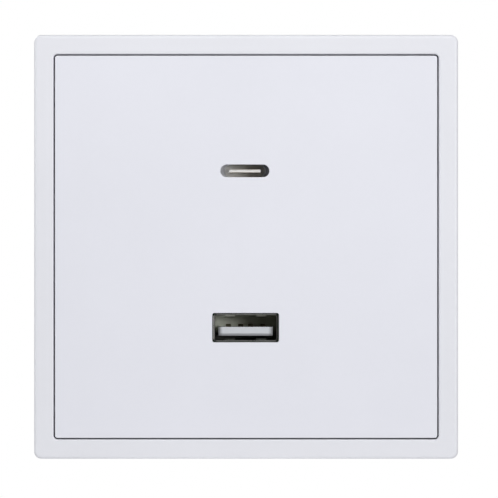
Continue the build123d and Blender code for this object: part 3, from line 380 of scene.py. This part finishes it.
# The tongue's ends painted darker as shade, and where the base wall's painted light and shade change
tonguePlace = {
    "middleX": -0.0001,
    "endsFrom": 0.0045,
    "endsTo": 0.0053,
    "endPaintedShade": 0.6,
    "paintedLitX": -0.0055,
    "paintedShadeX": 0.0035,
    "lowZ": -0.0178,
    "highZ": -0.0168,
    "tongueY": -0.001,
    "wallY": 0.0,
}
mouthPlace = {
    "paintedLitX": -0.0063,
    "paintedShadeX": 0.0052,
    "rimSteps": ((-0.0065, "rimPaintedShade"), (-0.0060, "rim"), (0.0060, "rimPaintedShade")),
    "rimY": -0.0074,
    "lowZ": -0.0174,
    "highZ": -0.0164,
}
flaredPlace = {
    "paintedLitX": 0.0008,
    "paintedShadeX": 0.0052,
    "rimSteps": ((-0.0020, "rim"), (0.0036, "rimRightPaintedShade")),
    "rimY": -0.0062,
    "lowZ": 0.0,
    "highZ": 0.001,
}
finishes = {
    "framePlastic": mouldedPlastic("framePlastic", linear(231, 232, 238)),
    "coverPlastic": mouldedPlastic("coverPlastic", linear(231, 232, 240)),
    "shieldPlastic": mouldedPlastic("shieldPlastic", linear(196, 198, 200), 0.5, 0.15),
    "housingPlastic": mouldedPlastic("housingPlastic", linear(222, 222, 220), 0.5, 0.2, 0.0002),
    "trayPlastic": mouldedPlastic("trayPlastic", linear(52, 52, 55), 0.5, 0.2),
    "chipPlastic": mouldedPlastic("chipPlastic", linear(34, 34, 36), 0.55, 0.3),
    "fusePlastic": coatedPart("fusePlastic", linear(96, 56, 38)),
    # The ports' tongue block and mouths carry painted light and shade in their colours
    "tonguePlasticPaintedLight": tongueBlockPaintedLight("tonguePlasticPaintedLight", linear(202, 205, 210), baseWallPaintedTones, tonguePlace),
    "tongueIvory": mouldedPlastic("tongueIvory", linear(244, 242, 238), 0.5, 0.1, 0.00008),
    "zincSteel": platedMetal("zincSteel", linear(196, 196, 190), 0.32),
    "mouthSteelPaintedLight": mouthMetalPaintedLight("mouthSteelPaintedLight", mouthPaintedTones, mouthPlace, 0.3),
    "flaredSteelPaintedLight": mouthMetalPaintedLight("flaredSteelPaintedLight", flaredPaintedTones, flaredPlace, 0.45),
    "contactGold": platedMetal("contactGold", linear(224, 200, 146), 0.26, alongDepth),
    # Gold darkened as painted shade, for the Type-A contacts deep inside the port
    "contactGoldPaintedShade": platedMetal("contactGoldPaintedShade", linear(132, 116, 82), 0.3, alongDepth),
    "solderTin": platedMetal("solderTin", linear(198, 200, 202), 0.22),
    "terminalBrass": platedMetal("terminalBrass", linear(214, 176, 104), 0.34, alongWidth),
    "tinPlate": platedMetal("tinPlate", linear(206, 206, 204), 0.38),
    "canAluminium": platedMetal("canAluminium", linear(210, 210, 212), 0.3, alongCan),
    "copperEnamel": platedMetal("copperEnamel", linear(176, 96, 52), 0.28),
    "boardLaminate": boardLaminate("boardLaminate"),
    "groundFerrite": groundFerrite("groundFerrite"),
    "woundTape": woundTape("woundTape"),
    "canSleeve": coatedPart("canSleeve", linear(36, 42, 64)),
    "boxYellow": coatedPart("boxYellow", linear(214, 178, 58), 0.35),
    "coatBlue": coatedPart("coatBlue", linear(46, 98, 168)),
    "coatBlack": coatedPart("coatBlack", linear(40, 42, 40)),
}

worn = {
    "mounting_frame": "framePlastic",
    "cover_plate": "coverPlastic",
    "front_shield": "shieldPlastic",
    "rear_housing": "housingPlastic",
    "housing_screws": "zincSteel",
    "usb_a_shell": "mouthSteelPaintedLight",
    "usb_a_insulator": "tonguePlasticPaintedLight",
    "usb_a_contacts": "contactGoldPaintedShade",
    "usb_c_shell": "flaredSteelPaintedLight",
    "usb_c_insulator": "tongueIvory",
    "usb_c_contacts": "contactGold",
    "port_board": "boardLaminate",
    "port_controller": "chipPlastic",
    "port_inductor": "groundFerrite",
    "board_link": "chipPlastic",
    "insulating_tray": "trayPlastic",
    "power_board": "boardLaminate",
    "live_bracket": "terminalBrass",
    "neutral_bracket": "terminalBrass",
    "live_clamp_plate": "zincSteel",
    "neutral_clamp_plate": "zincSteel",
    "live_screw": "zincSteel",
    "neutral_screw": "zincSteel",
    "transformer_core": "groundFerrite",
    "transformer_bobbin": "chipPlastic",
    "transformer_pins": "tinPlate",
    "transformer_winding": "woundTape",
    "input_capacitor_upper": "canSleeve",
    "input_capacitor_lower": "canSleeve",
    "output_capacitor_upper": "canAluminium",
    "output_capacitor_lower": "canAluminium",
    "x_capacitor": "boxYellow",
    "fuse": "fusePlastic",
    "bridge_rectifier": "chipPlastic",
    "varistor": "coatBlue",
    "thermistor": "coatBlack",
    "y_capacitor": "coatBlue",
    "choke_core": "groundFerrite",
    "choke_windings": "copperEnamel",
    "output_choke": "groundFerrite",
    "converter_controller": "chipPlastic",
}

for name, finish in worn.items():
    nodes[name].data.materials.clear()
    nodes[name].data.materials.append(finishes[finish])
print("finishes on", len(worn), "nodes")


# Pieces that the boards, terminals and chokes carry

def sourceMesh(name, vertices, edges=(), faces=()):
    mesh = bpy.data.meshes.new(name)
    mesh.from_pydata(vertices, edges, faces)
    piece = bpy.data.objects.new(name, mesh)
    bpy.context.collection.objects.link(piece)
    return piece


def startTree(name, inputs):
    # A Geometry Nodes tree with a geometry socket and a named input for each value
    tree = bpy.data.node_groups.new(name, "GeometryNodeTree")
    tree.interface.new_socket("Geometry", in_out="INPUT", socket_type="NodeSocketGeometry")
    tree.interface.new_socket("Geometry", in_out="OUTPUT", socket_type="NodeSocketGeometry")
    kinds = {int: "NodeSocketInt", float: "NodeSocketFloat", bpy.types.Material: "NodeSocketMaterial"}
    for key, value in inputs.items():
        tree.interface.new_socket(key, in_out="INPUT", socket_type=kinds[type(value)])
    return tree, addNode(tree, "NodeGroupInput"), addNode(tree, "NodeGroupOutput")


def endTree(tree, start, end, geometry):
    # Real geometry with its material, smooth shaded
    smooth = addNode(tree, "GeometryNodeSetShadeSmooth")
    realize = addNode(tree, "GeometryNodeRealizeInstances")
    paint = addNode(tree, "GeometryNodeSetMaterial")
    tree.links.new(geometry, realize.inputs["Geometry"])
    tree.links.new(realize.outputs["Geometry"], smooth.inputs["Geometry"])
    tree.links.new(smooth.outputs["Geometry"], paint.inputs["Geometry"])
    tree.links.new(start.outputs["Material"], paint.inputs["Material"])
    tree.links.new(paint.outputs["Geometry"], end.inputs["Geometry"])


def growPiece(name, source, tree, values, body):
    # The tree's result as a plain mesh that rides on a body
    modifier = source.modifiers.new(name, "NODES")
    modifier.node_group = tree
    for item in tree.interface.items_tree:
        if item.in_out == "INPUT" and item.name in values:
            modifier[item.identifier] = values[item.name]
    source.data.update()
    depsgraph = bpy.context.evaluated_depsgraph_get()
    depsgraph.update()
    mesh = bpy.data.meshes.new_from_object(source.evaluated_get(depsgraph))
    mesh.name = name
    bpy.data.objects.remove(source)
    piece = bpy.data.objects.new(name, mesh)
    bpy.context.collection.objects.link(piece)
    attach(piece, body)
    print(name, len(mesh.polygons), "faces")


def wireTree(name, inputs):
    # Round wire along a polyline, its corners bent to a radius
    tree, start, end = startTree(name, inputs)
    curve = addNode(tree, "GeometryNodeMeshToCurve")
    bend = addNode(tree, "GeometryNodeFilletCurve", mode="POLY")
    bend.inputs["Limit Radius"].default_value = True
    ring = addNode(tree, "GeometryNodeCurvePrimitiveCircle")
    sweep = addNode(tree, "GeometryNodeCurveToMesh")
    sweep.inputs["Fill Caps"].default_value = True
    tree.links.new(start.outputs["Geometry"], curve.inputs["Mesh"])
    tree.links.new(curve.outputs["Curve"], bend.inputs["Curve"])
    tree.links.new(start.outputs["Bend Radius"], bend.inputs["Radius"])
    tree.links.new(start.outputs["Bend Steps"], bend.inputs["Count"])
    tree.links.new(start.outputs["Sides"], ring.inputs["Resolution"])
    tree.links.new(start.outputs["Wire Radius"], ring.inputs["Radius"])
    tree.links.new(bend.outputs["Curve"], sweep.inputs["Curve"])
    tree.links.new(ring.outputs["Curve"], sweep.inputs["Profile Curve"])
    endTree(tree, start, end, sweep.outputs["Mesh"])
    return tree


def makeChokeTurns():
    # Enamelled wire wound round both halves of the ring, over the windings' first layer
    wound = {
        "turns": 10,
        "wire": 0.00030,
        "bend": 0.0005,
        "bendSteps": 3,
        "sides": 12,
        "sunk": 0.00012,
        "holeRadius": 0.0029,
        "arc": 122.0,
        "middle": 43.0,
        "lean": 0.35,
    }
    low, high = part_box("choke_windings")
    coreLow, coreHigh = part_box("choke_core")
    centreX, centreZ = (low[0] + high[0]) / 2, (coreLow[2] + coreHigh[2]) / 2
    layer = (high[0] - low[0]) / 2 - (coreHigh[0] - centreX)
    outer = (high[0] - low[0]) / 2 - wound["sunk"]
    inner = wound["holeRadius"] - layer + wound["sunk"]
    top, bottom = high[1] - wound["sunk"], coreLow[1] - layer + wound["sunk"]
    step = wound["arc"] / (wound["turns"] - 1)
    points, edges = [], []
    for side in (wound["middle"], wound["middle"] + 180):
        first = len(points)
        for turn in range(wound["turns"]):
            angle = side - wound["arc"] / 2 + step * turn
            lean = step * wound["lean"] if turn < wound["turns"] - 1 else 0
            corners = ((inner, bottom, 0), (inner, top, 0), (outer, top, lean), (outer, bottom, lean))
            for radius, y, shift in corners:
                theta = math.radians(angle + shift)
                points.append((centreX + radius * math.cos(theta), y, centreZ + radius * math.sin(theta)))
        edges += [(i, i + 1) for i in range(first, len(points) - 1)]
    inputs = {
        "Wire Radius": wound["wire"],
        "Bend Radius": wound["bend"],
        "Bend Steps": wound["bendSteps"],
        "Sides": wound["sides"],
        "Material": finishes["copperEnamel"],
    }
    source = sourceMesh("chokeTurnsPath", points, edges)
    growPiece("chokeTurns", source, wireTree("chokeWire", inputs), inputs, "socket_base")


def coilPoints(x, z, radius, start, end, turns, steps):
    # A helix round an axis along Y
    count = round(turns * steps)
    return [
        (
            x + radius * math.cos(2 * math.pi * i / steps),
            start + (end - start) * i / count,
            z + radius * math.sin(2 * math.pi * i / steps),
        )
        for i in range(count + 1)
    ]


def makeOutputChokeTurns():
    # One layer of wire in the drum's waist
    coil = {
        "wire": 0.00017,
        "pitch": 0.00036,
        "steps": 28,
        "sides": 10,
        "bedding": 0.9,
        "flange": 0.0012,
        "waist": 0.86,
        "drumFoot": 0.0132,
        "drumTop": 0.0192,
    }
    low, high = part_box("output_choke")
    centreX, centreZ = (low[0] + high[0]) / 2, (low[2] + high[2]) / 2
    radius = (high[0] - low[0]) / 2 * coil["waist"] + coil["wire"] * coil["bedding"]
    start = coil["drumFoot"] + coil["flange"] + coil["wire"]
    end = coil["drumTop"] - coil["flange"] - coil["wire"]
    turns = (end - start) / coil["pitch"]
    points = coilPoints(centreX, centreZ, radius, start, end, turns, coil["steps"])
    edges = [(i, i + 1) for i in range(len(points) - 1)]
    inputs = {
        "Wire Radius": coil["wire"],
        "Bend Radius": 0.0,
        "Bend Steps": 1,
        "Sides": coil["sides"],
        "Material": finishes["copperEnamel"],
    }
    source = sourceMesh("outputChokePath", points, edges)
    tree = wireTree("drumWire", inputs)
    growPiece("outputChokeTurns", source, tree, inputs, "socket_base")


def threadTree(name, inputs):
    # A helical ridge of square section, one corner outwards, round an axis along Z
    tree, start, end = startTree(name, inputs)
    spiral = addNode(tree, "GeometryNodeCurveSpiral")
    upright = addNode(tree, "GeometryNodeSetCurveNormal", mode="Z_UP")
    ridge = addNode(tree, "GeometryNodeCurvePrimitiveCircle")
    ridge.inputs["Resolution"].default_value = 4
    sweep = addNode(tree, "GeometryNodeCurveToMesh")
    sweep.inputs["Fill Caps"].default_value = True
    for key, socket in (("Turns", "Rotations"), ("Points Per Turn", "Resolution"), ("Length", "Height")):
        tree.links.new(start.outputs[key], spiral.inputs[socket])
    for socket in ("Start Radius", "End Radius"):
        tree.links.new(start.outputs["Helix Radius"], spiral.inputs[socket])
    tree.links.new(start.outputs["Ridge Radius"], ridge.inputs["Radius"])
    tree.links.new(spiral.outputs["Curve"], upright.inputs["Curve"])
    tree.links.new(upright.outputs["Curve"], sweep.inputs["Curve"])
    tree.links.new(ridge.outputs["Curve"], sweep.inputs["Profile Curve"])
    lay = addNode(tree, "GeometryNodeTransform")
    lay.inputs["Rotation"].default_value = (math.radians(-90), 0, 0)
    tree.links.new(sweep.outputs["Mesh"], lay.inputs["Geometry"])
    place = addNode(tree, "GeometryNodeTransform")
    spot = addNode(tree, "ShaderNodeCombineXYZ")
    for key, socket in (("Place X", "X"), ("Place Y", "Y"), ("Place Z", "Z")):
        tree.links.new(start.outputs[key], spot.inputs[socket])
    tree.links.new(spot.outputs["Vector"], place.inputs["Translation"])
    tree.links.new(lay.outputs["Geometry"], place.inputs["Geometry"])
    endTree(tree, start, end, place.outputs["Geometry"])
    return tree


def makeScrewThread(name, node, body):
    # The shank's fine thread, in metres: how far it stands proud, and the plain length at each end
    thread = {
        "pitch": 0.0006,
        "pointsPerTurn": 32,
        "shank": 0.00175,
        "proud": 0.000045,
        "ridge": 0.00016,
        "tip": 0.0005,
        "underHead": 0.0026,
    }
    low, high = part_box(node)
    length = high[1] - low[1] - thread["tip"] - thread["underHead"]
    inputs = {
        "Turns": length / thread["pitch"],
        "Points Per Turn": thread["pointsPerTurn"],
        "Length": length,
        "Helix Radius": thread["shank"] + thread["proud"] - thread["ridge"],
        "Ridge Radius": thread["ridge"],
        "Place X": (low[0] + high[0]) / 2,
        "Place Y": low[1] + thread["tip"],
        "Place Z": (low[2] + high[2]) / 2,
        "Material": finishes["zincSteel"],
    }
    source = sourceMesh(name + "Source", [(0, 0, 0)])
    growPiece(name, source, threadTree(name + "Tree", inputs), inputs, body)


def leadTips(node, reach=0.00005, apart=0.0009):
    # Where a part's leads end on its front side: the middle of each cluster of its foremost vertices
    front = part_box(node)[0][1] + reach
    tips = []
    for vertex in nodes[node].data.vertices:
        if vertex.co.y > front:
            continue
        for tip in tips:
            if math.hypot(vertex.co.x - tip[0][0], vertex.co.z - tip[0][2]) < apart:
                tip.append(tuple(vertex.co))
                break
        else:
            tips.append([tuple(vertex.co)])
    return [[(min(c[k] for c in tip) + max(c[k] for c in tip)) / 2 for k in (0, 2)] for tip in tips]


def solderTree(name, inputs):
    # A concave cone of solder, instanced on points, each a little different in size and turn
    cone = {"rings": 8, "sides": 16, "hollow": 2.2, "turn": (0.0, 6.28), "size": (0.88, 1.08)}
    tree, start, end = startTree(name, inputs)
    line = addNode(tree, "GeometryNodeCurvePrimitiveLine")
    line.inputs["End"].default_value = (0, 0, 1)
    cut = addNode(tree, "GeometryNodeResampleCurve")
    cut.inputs["Count"].default_value = cone["rings"]
    along = addNode(tree, "GeometryNodeSplineParameter")
    tree.links.new(line.outputs["Curve"], cut.inputs["Curve"])
    left = math2(tree, "SUBTRACT", 1.0, along.outputs["Factor"])
    spread = math2(tree, "MULTIPLY", math2(tree, "POWER", left, cone["hollow"]), start.outputs["Foot Spread"])
    width = math2(tree, "ADD", spread, start.outputs["Lead Radius"])
    swell = addNode(tree, "GeometryNodeSetCurveRadius")
    tree.links.new(cut.outputs["Curve"], swell.inputs["Curve"])
    tree.links.new(width, swell.inputs["Radius"])
    ring = addNode(tree, "GeometryNodeCurvePrimitiveCircle")
    ring.inputs["Resolution"].default_value = cone["sides"]
    ring.inputs["Radius"].default_value = 1.0
    sweep = addNode(tree, "GeometryNodeCurveToMesh")
    sweep.inputs["Fill Caps"].default_value = True
    tree.links.new(swell.outputs["Curve"], sweep.inputs["Curve"])
    tree.links.new(ring.outputs["Curve"], sweep.inputs["Profile Curve"])
    tree.links.new(width, sweep.inputs["Scale"])
    flatten = addNode(tree, "GeometryNodeTransform")
    heap = addNode(tree, "ShaderNodeCombineXYZ")
    heap.inputs["X"].default_value = 1.0
    heap.inputs["Y"].default_value = 1.0
    tree.links.new(start.outputs["Height"], heap.inputs["Z"])
    tree.links.new(sweep.outputs["Mesh"], flatten.inputs["Geometry"])
    tree.links.new(heap.outputs["Vector"], flatten.inputs["Scale"])
    spots = addNode(tree, "GeometryNodeInstanceOnPoints")
    tree.links.new(start.outputs["Geometry"], spots.inputs["Points"])
    tree.links.new(flatten.outputs["Geometry"], spots.inputs["Instance"])
    turn = addNode(tree, "FunctionNodeRandomValue", data_type="FLOAT")
    size = addNode(tree, "FunctionNodeRandomValue", data_type="FLOAT")
    number = addNode(tree, "GeometryNodeInputIndex")
    for node, span in ((turn, cone["turn"]), (size, cone["size"])):
        node.inputs[2].default_value, node.inputs[3].default_value = span
        tree.links.new(number.outputs["Index"], node.inputs["ID"])
        tree.links.new(start.outputs["Seed"], node.inputs["Seed"])
    lay = addNode(tree, "ShaderNodeCombineXYZ")
    lay.inputs["X"].default_value = math.radians(90)
    tree.links.new(turn.outputs[1], lay.inputs["Y"])
    tree.links.new(lay.outputs["Vector"], spots.inputs["Rotation"])
    tree.links.new(size.outputs[1], spots.inputs["Scale"])
    endTree(tree, start, end, spots.outputs["Instances"])
    return tree


def makeBoardSolder():
    # Solder fillets round the leads on the power board's front
    fillet = {"leadRadius": 0.00030, "footSpread": 0.00062, "height": 0.00062, "seed": 7}
    through = (
        "input_capacitor_upper", "input_capacitor_lower", "output_capacitor_upper", "output_capacitor_lower",
        "transformer_pins", "bridge_rectifier", "choke_windings", "x_capacitor", "fuse", "varistor",
        "thermistor", "y_capacitor", "output_choke",
    )
    places = []
    for node in through:
        places += leadTips(node)
    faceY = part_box("power_board")[0][1]
    source = sourceMesh("powerBoardSolderSource", [(x, faceY, z) for x, z in places])
    inputs = {
        "Lead Radius": fillet["leadRadius"],
        "Foot Spread": fillet["footSpread"],
        "Height": fillet["height"],
        "Seed": fillet["seed"],
        "Material": finishes["solderTin"],
    }
    tree = solderTree("powerBoardSolderTree", inputs)
    growPiece("powerBoardSolder", source, tree, inputs, "socket_base")
    print(len(places), "leads soldered to the power board")


def makeTerminalMark(name, letter, node):
    # A raised letter below the terminal, on the housing's underside beside the wire entry
    mark = {
        "size": 0.0046,
        "proud": 0.00034,
        "bevel": 0.00008,
        "bevelSteps": 1,
        "bolder": 0.00008,
        "behind": 0.0260,
    }
    low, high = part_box(node)
    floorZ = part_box("rear_housing")[0][2]
    data = bpy.data.curves.new(name, "FONT")
    data.body = letter
    data.align_x = "CENTER"
    data.align_y = "CENTER"
    data.size = mark["size"]
    data.extrude = mark["proud"]
    data.bevel_depth = mark["bevel"]
    data.bevel_resolution = mark["bevelSteps"]
    data.offset = mark["bolder"]
    text = bpy.data.objects.new(name + "Text", data)
    bpy.context.collection.objects.link(text)
    depsgraph = bpy.context.evaluated_depsgraph_get()
    mesh = bpy.data.meshes.new_from_object(text.evaluated_get(depsgraph))
    bpy.data.objects.remove(text)
    # The letter's face looks down and its top points to the back
    lay = Matrix(((-1, 0, 0), (0, 1, 0), (0, 0, -1))).to_4x4()
    mesh.transform(Matrix.Translation(((low[0] + high[0]) / 2, mark["behind"], floorZ)) @ lay)
    mesh.materials.clear()
    mesh.materials.append(finishes["housingPlastic"])
    mesh.name = name
    piece = bpy.data.objects.new(name, mesh)
    bpy.context.collection.objects.link(piece)
    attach(piece, "socket_base")
    print(name, "set under", node)


makeChokeTurns()
makeOutputChokeTurns()
makeScrewThread("liveScrewThread", "live_screw", "live_terminal_screw")
makeScrewThread("neutralScrewThread", "neutral_screw", "neutral_terminal_screw")
makeBoardSolder()
makeTerminalMark("liveMark", "L", "live_screw")
makeTerminalMark("neutralMark", "N", "neutral_screw")


# Stage, light and camera

def makeFloor():
    # A pale disc, lifted in tone where the camera sees it, that fades out before the horizon
    disc = {
        "radius": 1.0,
        "sides": 96,
        "height": -0.125,
        "paint": (0.86, 0.86, 0.87, 1),
        "roughness": 0.8,
        "specular": 0.1,
        "fadeFrom": 0.35,
        "fadeTo": 0.97,
        "glow": 0.42,
    }
    ring = []
    for i in range(disc["sides"]):
        angle = 2 * math.pi * i / disc["sides"]
        ring.append((disc["radius"] * math.cos(angle), disc["radius"] * math.sin(angle), disc["height"]))
    mesh = bpy.data.meshes.new("floor")
    mesh.from_pydata(ring, [], [tuple(range(disc["sides"]))])
    floor = bpy.data.objects.new("floor", mesh)
    bpy.context.collection.objects.link(floor)
    material, tree, shader = startMaterial("floorPaint", disc["paint"], disc["roughness"])
    shader.inputs["Specular IOR Level"].default_value = disc["specular"]
    length = addNode(tree, "ShaderNodeVectorMath", operation="LENGTH")
    flat = addNode(tree, "ShaderNodeVectorMath", operation="MULTIPLY")
    flat.inputs[1].default_value = (1, 1, 0)
    tree.links.new(objectPoint(tree), flat.inputs[0])
    tree.links.new(flat.outputs["Vector"], length.inputs[0])
    fade = remap(tree, length.outputs["Value"], disc["fadeFrom"], disc["fadeTo"], 1, 0, smooth=True)
    tree.links.new(fade, shader.inputs["Alpha"])
    path = addNode(tree, "ShaderNodeLightPath")
    glow = math2(tree, "MULTIPLY", path.outputs["Is Camera Ray"], disc["glow"])
    shader.inputs["Emission Color"].default_value = (1, 1, 1, 1)
    tree.links.new(glow, shader.inputs["Emission Strength"])
    mesh.materials.append(material)
    return floor


def makeWorld():
    # White behind the object, and a softer light that is stronger from above
    light = {"above": 0.37, "below": 0.215, "band": 0.7, "behind": 1.0}
    world = bpy.data.worlds.new("studio")
    bpy.context.scene.world = world
    world.use_nodes = True
    tree = world.node_tree
    tree.nodes.clear()
    output = addNode(tree, "ShaderNodeOutputWorld")
    place = addNode(tree, "ShaderNodeTexCoord")
    split = addNode(tree, "ShaderNodeSeparateXYZ")
    tree.links.new(place.outputs["Generated"], split.inputs["Vector"])
    span = (-light["band"], light["band"], light["below"], light["above"])
    level = remap(tree, split.outputs["Z"], *span, smooth=True)
    soft = addNode(tree, "ShaderNodeBackground")
    tree.links.new(level, soft.inputs["Strength"])
    soft.inputs["Color"].default_value = (1, 1, 1, 1)
    white = addNode(tree, "ShaderNodeBackground")
    white.inputs["Color"].default_value = (1, 1, 1, 1)
    white.inputs["Strength"].default_value = light["behind"]
    path = addNode(tree, "ShaderNodeLightPath")
    mix = addNode(tree, "ShaderNodeMixShader")
    tree.links.new(path.outputs["Is Camera Ray"], mix.inputs[0])
    tree.links.new(soft.outputs[0], mix.inputs[1])
    tree.links.new(white.outputs[0], mix.inputs[2])
    tree.links.new(mix.outputs[0], output.inputs["Surface"])


def makeSoftbox(name, light):
    data = bpy.data.lights.new(name, "AREA")
    data.shape = "SQUARE"
    data.size = light["size"]
    data.energy = light["power"]
    softbox = bpy.data.objects.new(name, data)
    softbox.location = light["place"]
    aim = Vector(light["target"]) - Vector(light["place"])
    softbox.rotation_euler = aim.to_track_quat("-Z", "Y").to_euler()
    softbox.visible_camera = False
    bpy.context.collection.objects.link(softbox)
    return softbox


def spareFloor(lights, floor):
    # These lights leave the floor alone, so that nothing of them bounces to the front
    spared = bpy.data.collections.new("sparedFloor")
    spared.objects.link(floor)
    for softbox in lights:
        softbox.light_linking.receiver_collection = spared
    spared.collection_objects[0].light_linking.link_state = "EXCLUDE"


def makeCamera():
    # The plate's front fills 424 of the photo's 498 pixels, seen straight on from far away
    shot = {
        "pixels": 498,
        "platePixels": 424,
        "aimX": 0.00059,
        "aimZ": -0.00044,
        "distance": 1.3,
        "sensor": 36,
        "clipStart": 0.01,
    }
    low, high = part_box("mounting_frame")
    viewWidth = (high[0] - low[0]) * shot["pixels"] / shot["platePixels"]
    data = bpy.data.cameras.new("photoCamera")
    data.sensor_width = shot["sensor"]
    data.lens = shot["sensor"] * shot["distance"] / viewWidth
    data.clip_start = shot["clipStart"]
    camera = bpy.data.objects.new("photoCamera", data)
    camera.location = (shot["aimX"], low[1] - shot["distance"], shot["aimZ"])
    camera.rotation_euler = (math.radians(90), 0, 0)
    bpy.context.collection.objects.link(camera)
    bpy.context.scene.camera = camera


# Metres and watts
softboxes = {
    "keySoftbox": {
        "place": (0.015, -0.30, 0.225), "target": (0, 0, 0), "size": 0.16, "power": 0.50,
        "lightsFloor": True,
    },
    "sideSoftbox": {
        "place": (0.66, -1.00, 0.12), "target": (0, 0, 0), "size": 0.30, "power": 4.1,
        "lightsFloor": True,
    },
    "leftSoftbox": {
        "place": (-0.50, -0.06, 0.10), "target": (-0.043, -0.004, 0), "size": 0.30, "power": 0.64,
        "lightsFloor": False,
    },
    "lowSoftbox": {
        "place": (0.0, -0.010, -0.115), "target": (0, -0.004, -0.043), "size": 0.06, "power": 0.016,
        "lightsFloor": False,
    },
    "rearSoftbox": {
        "place": (-0.45, 0.80, 0.35), "target": (0, 0.02, 0), "size": 0.40, "power": 4.0,
        "lightsFloor": False,
    },
}

floor = makeFloor()
makeWorld()
placed = {name: makeSoftbox(name, light) for name, light in softboxes.items()}
spareFloor([placed[name] for name, light in softboxes.items() if not light["lightsFloor"]], floor)
makeCamera()
bpy.context.scene.view_settings.view_transform = "Standard"
print("stage, light and camera ready")
